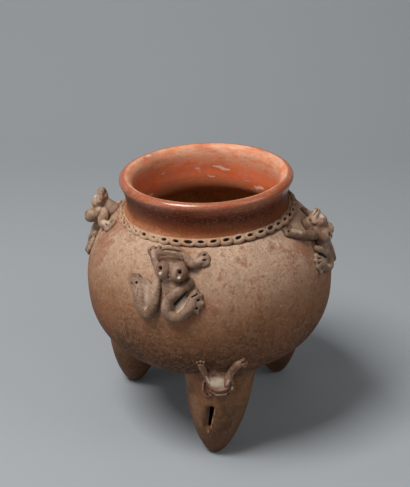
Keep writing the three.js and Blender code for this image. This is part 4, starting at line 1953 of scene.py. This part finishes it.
@dataclass
class Foot:
    """A hollow foot with a sound slit, which runs softly into the bowl.

    Attributes:
        site: where the vase stands.
        form: its outline.
        slit_height: height of the slit.
        slit_width: width of the slit's upper end.
        slit_narrowing: width of its lower end as a share of that.
        slit_middle: height of the slit's middle above the ground.
        slit_turn: how far it lies round the foot, in degrees.
        slit_slant: how far it slants, in degrees.
        top: height up to which the shell is turned.
        flare: how far below the bowl the foot starts to spread.
        spread: how far it spreads.
        sunk: how deep in the bowl the shell ends.
    """

    site: Site
    form: FootForm
    slit_height: float = 19.5
    slit_width: float = 3.6
    slit_narrowing: float = 0.6
    slit_middle: float = 36.6
    slit_turn: float = -19.5
    slit_slant: float = 7.0
    top: float = 84.0
    flare: float = 6.0
    spread: float = 2.2
    sunk: float = 2.5

    # Steps round each end of the slit, and how far the slit's cutter reaches.
    END_STEPS = 8
    CUT = 40
    # Heights between which the spread sets in, and depths in the bowl between which it ends.
    SPREAD_HEIGHTS = (20, 45)
    SPREAD_DEPTHS = (-6.0, -1.0)
    SPREAD_SOFTNESS = 0.45
    # Bringing the top back into the bowl: rounds, the longest move, and how much is overdone.
    TRIMMING_ROUNDS = 3
    LONGEST_TRIM = 12.0
    TRIM_SURPLUS = 1.05

    def bowl_distance(self, points: Points) -> np.ndarray:
        """Signed distance from the bowl, for points in the foot's frame."""
        to_bowl = self.site.bowl_place().inverted() @ self.site.foot_place(self.form.azimuth)
        turn = np.array(to_bowl.to_3x3())
        return self.site.bowl.distance(points @ turn.T + np.array(to_bowl.translation))

    def shear(self) -> Matrix:
        """Draws the foot's top inwards and sideways, and stands it at its reach.

        Returns:
            The matrix, in millimetres.
        """
        lean = Matrix.Identity(4)
        lean[0][2] = self.form.sideways / self.form.swell_height
        lean[1][2] = self.form.splay / self.form.swell_height
        lean[1][3] = -self.form.reach
        return lean

    def slit_place(self) -> Matrix:
        """Frame of the slit: Y up it, Z out through the wall."""
        place = self.shear() @ Matrix.Translation((0, 0, self.slit_middle))
        place = place @ rotation(self.slit_turn, "Z") @ rotation(90, "X")
        return place @ rotation(-self.slit_slant, "Z")

    def slit_cutter(self) -> Object:
        """A slot with round ends, narrower below, from inside the chamber outwards.

        Returns:
            The cutter, in the foot's frame.
        """
        form = bmesh.new()
        straight = (self.slit_height - self.slit_width) / 2
        ring = []
        for end, start, share in ((1, 0.0, 1.0), (-1, math.pi, self.slit_narrowing)):
            half = self.slit_width / 2 * share
            for step in range(self.END_STEPS + 1):
                turn = start + math.pi * step / self.END_STEPS
                up = end * straight + half * math.sin(turn)
                ring.append(form.verts.new((half * math.cos(turn), up, 0)))
        face = form.faces.new(ring)
        lifted = bmesh.ops.extrude_face_region(form, geom=[face])
        tops = [item for item in lifted["geom"] if isinstance(item, bmesh.types.BMVert)]
        bmesh.ops.translate(form, verts=tops, vec=(0, 0, self.CUT))
        bmesh.ops.recalc_face_normals(form, faces=form.faces)
        mesh = mesh_of(form, self.form.name + "_slit_cutter")
        mesh.transform(self.slit_place())
        return placed(mesh.name, mesh)

    def build(self, tree: TurnedTree, finishing: Finishing) -> None:
        """Makes and dresses the foot.

        Args:
            tree: turns it.
            finishing: dresses it.
        """
        form = self.form
        turning = Turning(
            sides=120, rows=170, lumps=0.8, lump_scale=40.0, ripples=0.3, ripple_scale=140.0,
            seed=form.azimuth,
        )
        finish = finishing.material(FOOT_CLAY)
        mesh = tree.turn(form.name, *form.profile(self.top), turning, finish)
        mesh.transform(Matrix.Scale(1 / MM, 4))
        mesh.transform(self.shear())
        self.shape(mesh)
        shell = self.pierced(mesh)
        shell.transform(Matrix.Scale(MM, 4) @ self.site.foot_place(form.azimuth))
        shell.shade_smooth()
        finishing.dress(placed(form.name + "_clay", shell), FOOT_CLAY, VASE, "foot_clay", form.name)

    def shape(self, mesh: Mesh) -> None:
        """Spreads the turned foot into the bowl, marks it and stands it on the ground.

        Args:
            mesh: the turned foot, which is changed.
        """
        points = points_of(mesh)
        bowl = self.bowl_distance(points)
        outside = self.form.distance(points) > -self.form.wall / 2
        points = self.flared(points, bowl, outside)
        points, wear = marked(points, self.slit_marks(), outside.astype(float))
        points[:, 2] = np.maximum(points[:, 2], 0)
        store_points(mesh, points)
        store_number(mesh, "wear", wear)
        self.trim(mesh)

    def pierced(self, mesh: Mesh) -> Mesh:
        """Cuts the slit into the foot.

        Args:
            mesh: the foot without it.

        Returns:
            The foot with it, as a new mesh.
        """
        item = placed(self.form.name + "_shell", mesh)
        cutter = self.slit_cutter()
        cut = item.modifiers.new("slit", "BOOLEAN")
        cut.operation = "DIFFERENCE"
        cut.solver = "EXACT"
        cut.object = cutter
        shell = baked(item)
        bpy.data.objects.remove(item)
        bpy.data.objects.remove(cutter)
        return shell

    def flared(self, points: Points, bowl: np.ndarray, outside: np.ndarray) -> Points:
        """Spreads the foot's outside where it nears the bowl.

        Args:
            points: the foot's points.
            bowl: their distances from the bowl.
            outside: which of them lie on the outer side.

        Returns:
            The moved points.
        """
        x, y = self.form.axis_at(points[:, 2])
        away = np.stack([points[:, 0] - x, points[:, 1] - y, np.zeros(len(points))], axis=1)
        away /= np.maximum(np.linalg.norm(away, axis=1), 1e-6)[:, None]
        nearness = -np.maximum(bowl, self.SPREAD_DEPTHS[1]) / (self.SPREAD_SOFTNESS * self.flare)
        swell = self.spread * np.exp(nearness) * outside
        swell *= ease(points[:, 2], *self.SPREAD_HEIGHTS) * ease(bowl, *self.SPREAD_DEPTHS)
        return points + swell[:, None] * away

    def slit_marks(self) -> list[Dent]:
        """Marks round the slit: clay pressed in on one side with painted shade in it, a pale strip along
        the other edge, a small pale bump below it, and a broad patch of painted light on the foot beside
        it.

        They are placed from the upper and lower end of the slit, by distances across and up it.

        Returns:
            The marks.
        """
        place = np.array(self.slit_place())
        middle, up, out = place[:3, 3], place[:3, 1], place[:3, 2]
        across = place[:3, 0] / np.linalg.norm(place[:3, 0])
        out = out / np.linalg.norm(out)
        face = middle + out * self.form.outer_radius(self.slit_middle)
        half = up * (self.slit_height / 2 - 1.0)
        low = face - half
        return [
            # Pressed in, and painted dark as painted shade.
            Dent(face + half * 0.7 - across * 1.9, low - across * 1.5, -out, 2.4, 1.7, 0.6, 9),
            Dent(face + half + across * 2.3, low + across * 1.5, -out, 0.55, 0.1, -0.75, 9),
            Dent(low - up * 3.6, low - up * 5.0, -out, 0.8, -0.3, -0.8, 9),
            # A broad patch of painted light on the foot beside the slit.
            Dent(face + half - across * 13, low - across * 8, -out, 7.0, 0.05, -0.33, 12),
        ]

    def trim(self, mesh: Mesh) -> None:
        """Brings what would stand inside the bowl back to just under its surface.

        Args:
            mesh: the foot, which is changed.
        """
        points = points_of(mesh)
        for _ in range(self.TRIMMING_ROUNDS):
            depth = self.bowl_distance(points)
            inside = depth < -self.sunk
            drop = np.minimum(-self.sunk - depth[inside], self.LONGEST_TRIM)
            points[inside, 2] -= drop * self.TRIM_SURPLUS
        store_points(mesh, points)


FOOT_FROG = {
    "body": Mould(
        rolls=(
            ((-5.2, -9.4, 1.5, 1.3), (-2.6, -11, 2.7, 1.5), (1.6, -11.5, 3.2, 1.6), (5, -10.8, 2.7, 1.5),
             (7.2, -9, 1.5, 1.3)),
            ((-4.4, -13.4, 0.9, 1.1), (-1.2, -15, 1.5, 1.2), (2.6, -15.5, 1.7, 1.2),
             (6.2, -14.4, 1.3, 1.2), (8.2, -12.2, 0.9, 1.1)),
        ),
        pads=(
            ((16.5, 15, 5.4), (0.8, -3.6, 0.3)),
            ((13.5, 10, 6), (1.4, -8.2, 1.3)),
            ((12.5, 6, 4), (1.8, -13.2, 0.5)),
        ),
        dents=(
            # A wide pale patch over the back: painted light.
            ((-2, -5.4, 3), (3.6, -6, 3), 5, 0.1, -0.62),
            ((-3.4, -12.7, 2.6), (6.8, -12.2, 2.6), 0.7, 1.2, 0.9),
            ((2.7, -17.4, 1.4), (2.8, -17.5, 1.4), 0.7, 1.3, 1),
            ((-1, -15.2, 2.6), (6, -14.8, 2.6), 0.6, 0.05, -0.6),
            ((-3, -1.4, 2.6), (-2, -0.6, 2.6), 1.6, 0.4, 0.35),
        ),
    ),
    "left_hindleg": Mould(
        rolls=(
            ((-3.8, -9.4, 1.8, 1.6), (-5.8, -5.9, 2.1, 2.1), (-7.4, -2, 2.1, 2.2), (-8.6, 1.6, 1.6, 2.1),
             (-10, 6, 1, 2), (-11, 9, 0.6, 2.1)),
            ((-11.6, 9.4, 1, 0.9), (-13.2, 10.8, 0.5, 0.9)),
            ((-11, 9.8, 1, 0.9), (-11.2, 11.8, 0.5, 0.9)),
            ((-10.2, 9.6, 1, 0.9), (-9.2, 11.4, 0.5, 0.9)),
        ),
        dents=(
            ((-12, 10.4, 2), (-12.2, 10.8, 2), 0.55, 1.2, 1),
            ((-10.4, 10.6, 2), (-10.3, 11, 2), 0.55, 1.2, 1),
            ((-5.4, -6.6, 4), (-7.2, -2, 4), 0.9, 0.05, -0.7),
            ((-8.8, 3, 3), (-10.4, 7.4, 3), 1.6, 0.05, 0.3),
        ),
    ),
    "right_hindleg": Mould(
        rolls=(
            ((4.9, -9.6, 2, 1.8), (6.2, -5.5, 2.8, 2.4), (8.2, -0.3, 2.7, 2.6), (10.5, 5, 2.1, 2.6),
             (13, 8.4, 1.5, 2.7), (15.2, 9.2, 1, 2.6)),
            ((15, 10.2, 1.3, 1.2), (16.6, 12.2, 0.8, 1.2)),
            ((16, 8.6, 1.3, 1.2), (18.4, 8.8, 0.8, 1.2)),
            ((15.6, 7, 1.3, 1.2), (17.8, 5.2, 0.8, 1.2)),
        ),
        dents=(
            ((15.4, 10, 2.2), (17, 10.9, 2), 0.6, 1.4, 1),
            ((15.4, 7.8, 2.2), (17.4, 7, 2), 0.6, 1.4, 1),
            ((6, -6.4, 5), (7, -3.4, 5), 1.1, 0.05, -0.6),
            ((9.6, 2, 4), (12, 7, 3.6), 2, 0.05, 0.25),
        ),
    ),
    "left_foreleg": Mould(
        rolls=(
            ((-7.4, -6.8, 0.5, 1.2), (-8.8, -9.8, 0.8, 1.25), (-9.2, -13.4, 0.8, 1.3),
             (-8.3, -16.8, 0.7, 1.25), (-6.2, -18.4, 0.5, 1.2), (-4, -17.4, 0.3, 1.1)),
        ),
        dents=(
            ((-9.1, -9.6, 2.6), (-9.3, -13.4, 2.6), 0.8, 0.05, -0.5),
            ((-6.8, -17, 2), (-5.8, -17.4, 2), 0.5, 0.9, 1),
        ),
    ),
    "right_foreleg": Mould(
        rolls=(
            ((8.4, -5.6, 0.6, 1.25), (9.8, -8.4, 0.9, 1.3), (10.1, -11.4, 1, 1.4), (9, -14.2, 0.8, 1.3),
             (7, -16.4, 0.5, 1.2), (5, -17.4, 0.3, 1.1)),
        ),
        dents=(
            ((9.7, -10.6, 2.6), (9.4, -11.8, 2.6), 0.9, 0.05, -0.9),
            ((7.6, -15, 2), (6.6, -15.8, 2), 0.5, 0.8, 0.9),
        ),
    ),
}


class FootFrog(Frog):
    """The small frog at the top of a foot, head down, with its hind legs up on the bowl."""

    # How softly foot and bowl run into each other, and the step that finds where they meet.
    GROUND_BLEND = 2.0
    STEP = 0.25

    blend = 0.9
    skirt = 1.2
    uneven = 0.09
    soiling = 0.3

    def __init__(self, foot: Foot, cell: float) -> None:
        """Finds the height at which the foot's face runs into the bowl.

        Args:
            foot: the foot that carries it.
            cell: size of its clay's grid.
        """
        super().__init__(f"{foot.form.name}_frog", self.both_surfaces, cell)
        self.foot = foot
        bowl = foot.site.bowl
        self.junction = bowl.middle - bowl.depth
        on_foot, on_bowl = self.faces(0.0, self.junction)
        while on_foot > on_bowl and self.junction < bowl.middle:
            self.junction += self.STEP
            on_foot, on_bowl = self.faces(0.0, self.junction)

    def both_surfaces(self, points: Points) -> np.ndarray:
        """Signed distance from the foot and the bowl together."""
        foot, bowl = self.foot.form.distance(points), self.foot.bowl_distance(points)
        return smooth_least(foot, bowl, self.GROUND_BLEND)

    def faces(self, sideways: float, height: float) -> tuple[float, float]:
        """How far out the foot's face and the bowl's lie.

        Args:
            sideways: distance from the middle of the foot's frame.
            height: height above the ground.

        Returns:
            Both distances from the vase's axis, the foot's first.
        """
        form, bowl = self.foot.form, self.foot.site.bowl
        x, y = form.axis_at(height)
        wide = float(bowl.radius_at(np.array(height - bowl.middle)))
        on_foot = -y + math.sqrt(max(form.outer_radius(height) ** 2 - (sideways - x) ** 2, 0))
        return on_foot, math.sqrt(max(wide**2 - sideways**2, 0))

    def spot(self, sideways: float, along: float, out: float) -> tuple[np.ndarray, np.ndarray]:
        """A place at a height from the junction, off whichever face lies further out.

        Args:
            sideways: distance from the middle of the foot's frame.
            along: height above the junction.
            out: distance off the face.

        Returns:
            The point, and the directions across, up and outwards as rows.
        """
        height = self.junction + along
        point = np.array([sideways, -max(self.faces(sideways, height)) - out, height])
        return point, np.array([[1.0, 0, 0], [0, 0, 1.0], [0, -1.0, 0]])

    def build(self, finishing: Finishing) -> None:
        """Makes and dresses the frog's pieces.

        Args:
            finishing: dresses them.
        """
        place = self.foot.site.foot_place(self.foot.form.azimuth)
        for part, mould in FOOT_FROG.items():
            item = self.clay(part, mould).build(place)
            finishing.dress(item, FOOT_FROG_CLAY, VASE, "frog_clay", f"{self.owner}_{part}")


@dataclass
class Pellets:
    """The loose pellets in one foot, each on a body of its own."""

    foot_name: str
    radius: float = 3.85
    cell: float = 0.4
    uneven: float = 0.05

    def build(self, finishing: Finishing) -> None:
        """Makes and dresses the foot's pellets.

        Args:
            finishing: dresses them.
        """
        word = self.foot_name.split("_")[0]
        for side in Side:
            node = f"{self.foot_name}_{side.word}_pellet"
            low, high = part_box(node)
            middle = np.array([(a + b) / 2 / MM for a, b in zip(low, high)])
            ball = Lump(middle, np.eye(3), np.full(3, self.radius))
            clay = ClayPiece(f"{node}_clay", [ball], cell=self.cell, uneven=self.uneven)
            body = f"{word}_{side.word}_pellet"
            finishing.dress(clay.build(Matrix.Identity(4)), PELLET_CLAY, body, "pellet_clay", node)


# The studio


@dataclass(frozen=True)
class Camera:
    """The camera, by its place from the bowl's middle, in millimetres and degrees.

    Attributes:
        distance: from the point that it looks at.
        elevation: above the horizon.
        aim_height: height of that point above the bowl's widest line.
        aim_sideways: how far it lies to the right of the bowl's axis.
        lens: focal length on a 36 mm sensor.
    """

    distance: float = 700.0
    elevation: float = 25.39
    aim_height: float = 19.74
    aim_sideways: float = -3.04
    lens: float = 74.6

    def build(self, site: Site) -> None:
        """Makes the camera.

        Args:
            site: where the vase stands.
        """
        data = bpy.data.cameras.new("camera")
        data.lens = self.lens
        data.sensor_width = 36.0
        data.clip_end = 20.0
        item = linked("camera", data)
        rise = math.radians(self.elevation)
        across, deep = site.axis
        aim = Vector((across + self.aim_sideways, deep, site.bowl.middle + self.aim_height))
        back = Vector((0, -math.cos(rise), math.sin(rise)))
        item.location = (aim + back * self.distance) * MM
        item.rotation_euler = (math.pi / 2 - rise, 0, 0)
        bpy.context.scene.camera = item


@dataclass(frozen=True)
class Lamp:
    """A square white lamp that looks at the vase, in metres and watts."""

    name: str
    place: tuple[float, float, float]
    size: float
    power: float

    AIM = (0, 0, 0.1)

    def build(self) -> None:
        """Makes the lamp."""
        data = bpy.data.lights.new(self.name, "AREA")
        data.shape = "SQUARE"
        data.size = self.size
        data.energy = self.power
        item = linked(self.name, data)
        item.location = self.place
        look = Vector(self.AIM) - Vector(self.place)
        item.rotation_euler = look.to_track_quat("-Z", "Y").to_euler()


@dataclass
class Studio:
    """Plain floor with a curved backdrop, soft lamps and the camera.

    Attributes:
        site: where the vase stands.
        camera: the camera.
        floor_colour: linear colour of the floor.
        ambient: strength of the white light from all sides.
        lamps: the lamps.
        half_width: half the floor's width, and how far it comes to the front, in metres.
        bend_from: where the floor starts to bend up, behind the vase.
        bend: radius of the bend.
        back: how far back and how high the backdrop ends.
    """

    site: Site
    camera: Camera = field(default_factory=Camera)
    floor_colour: tuple = colour(156, 160, 163)
    ambient: float = 0.2
    lamps: tuple[Lamp, ...] = (
        Lamp("key", (-0.45, -0.3, 1.2), 0.5, 16.0),
        Lamp("side", (-2.0, -0.7, 0.5), 0.8, 4.0),
        Lamp("fill", (1.1, -0.5, 1.1), 0.7, 3.0),
    )
    half_width: float = 4.0
    bend_from: float = 0.5
    bend: float = 0.5
    back: tuple[float, float] = (1.0, 3.0)

    def floor(self) -> None:
        """Makes the floor, which curves up behind the vase."""
        form = bmesh.new()
        section = [(-self.half_width, 0.0), (self.bend_from, 0.0)]
        for turn in np.linspace(0.1, math.pi / 2, 14):
            deep = self.bend_from + self.bend * math.sin(turn)
            section.append((deep, self.bend - self.bend * math.cos(turn)))
        section.append(self.back)
        sides = (-self.half_width, self.half_width)
        rows = [[form.verts.new((x, y, z)) for y, z in section] for x in sides]
        for i in range(len(section) - 1):
            form.faces.new((rows[0][i], rows[1][i], rows[1][i + 1], rows[0][i + 1]))
        mesh = mesh_of(form, "floor")
        material = bpy.data.materials.new("studio_paper")
        material.use_nodes = True
        shader = material.node_tree.nodes["Principled BSDF"]
        shader.inputs["Base Color"].default_value = self.floor_colour
        shader.inputs["Roughness"].default_value = 0.9
        mesh.materials.append(material)
        mesh.shade_smooth()
        placed("floor", mesh)

    def build(self) -> None:
        """Makes the floor, the world, the lamps and the camera."""
        self.floor()
        world = bpy.data.worlds.new("studio")
        world.use_nodes = True
        sky = world.node_tree.nodes["Background"]
        sky.inputs["Color"].default_value = colour(255, 255, 255)
        sky.inputs["Strength"].default_value = self.ambient
        bpy.context.scene.world = world
        for lamp in self.lamps:
            lamp.build()
        self.camera.build(self.site)
        bpy.context.scene.view_settings.view_transform = "Standard"


CROUCHES = (
    Crouch("front", -18.0, mouth="open"),
    Crouch("right", 75.0, mirrored=True, head=(2.0, 1.5), tilt=2.0, arms=(-0.1, 0.6), swapped_arms=True,
           spread=(0.7, 1.0), stride=0.85, relief=0.74, eyes=(0.8, 0.85), powder=0.08),
    Crouch("back", 162.0, spread=(0.85, 0.85), stride=0.85),
    Crouch("left", -99.0, head=(-2.5, 2.0), tilt=5.5, arms=(-0.2, 0.4), spread=(0.8, 0.8), stride=0.75,
           relief=0.7, eyes=(0.82, 0.86), powder=0.18),
)


FINE_CELL = 0.42
# Each foot, and how far its top is drawn sideways.
FEET = {"front_foot": 3.6, "left_foot": 0.0, "right_foot": 0.0}


def main() -> None:
    """Builds the vase and its studio."""
    logging.basicConfig(level=logging.INFO, format="%(name)s: %(message)s")
    cell = FINE_CELL
    finishing = Finishing()
    site = Site.found(BowlForm())
    Studio(site).build()
    turned = TurnedTree()
    vessel = Vessel(site)
    vessel.build(turned, finishing)
    NeckStrip(vessel).build(LinkTree(), finishing)
    for crouch in CROUCHES:
        ShoulderFrog(site, crouch, cell=cell).build(finishing)
    for name, sideways in FEET.items():
        foot = Foot(site, FootForm.found(name, site, sideways))
        foot.build(turned, finishing)
        FootFrog(foot, cell=cell).build(finishing)
        Pellets(name).build(finishing)


if __name__ == "__main__":
    main()
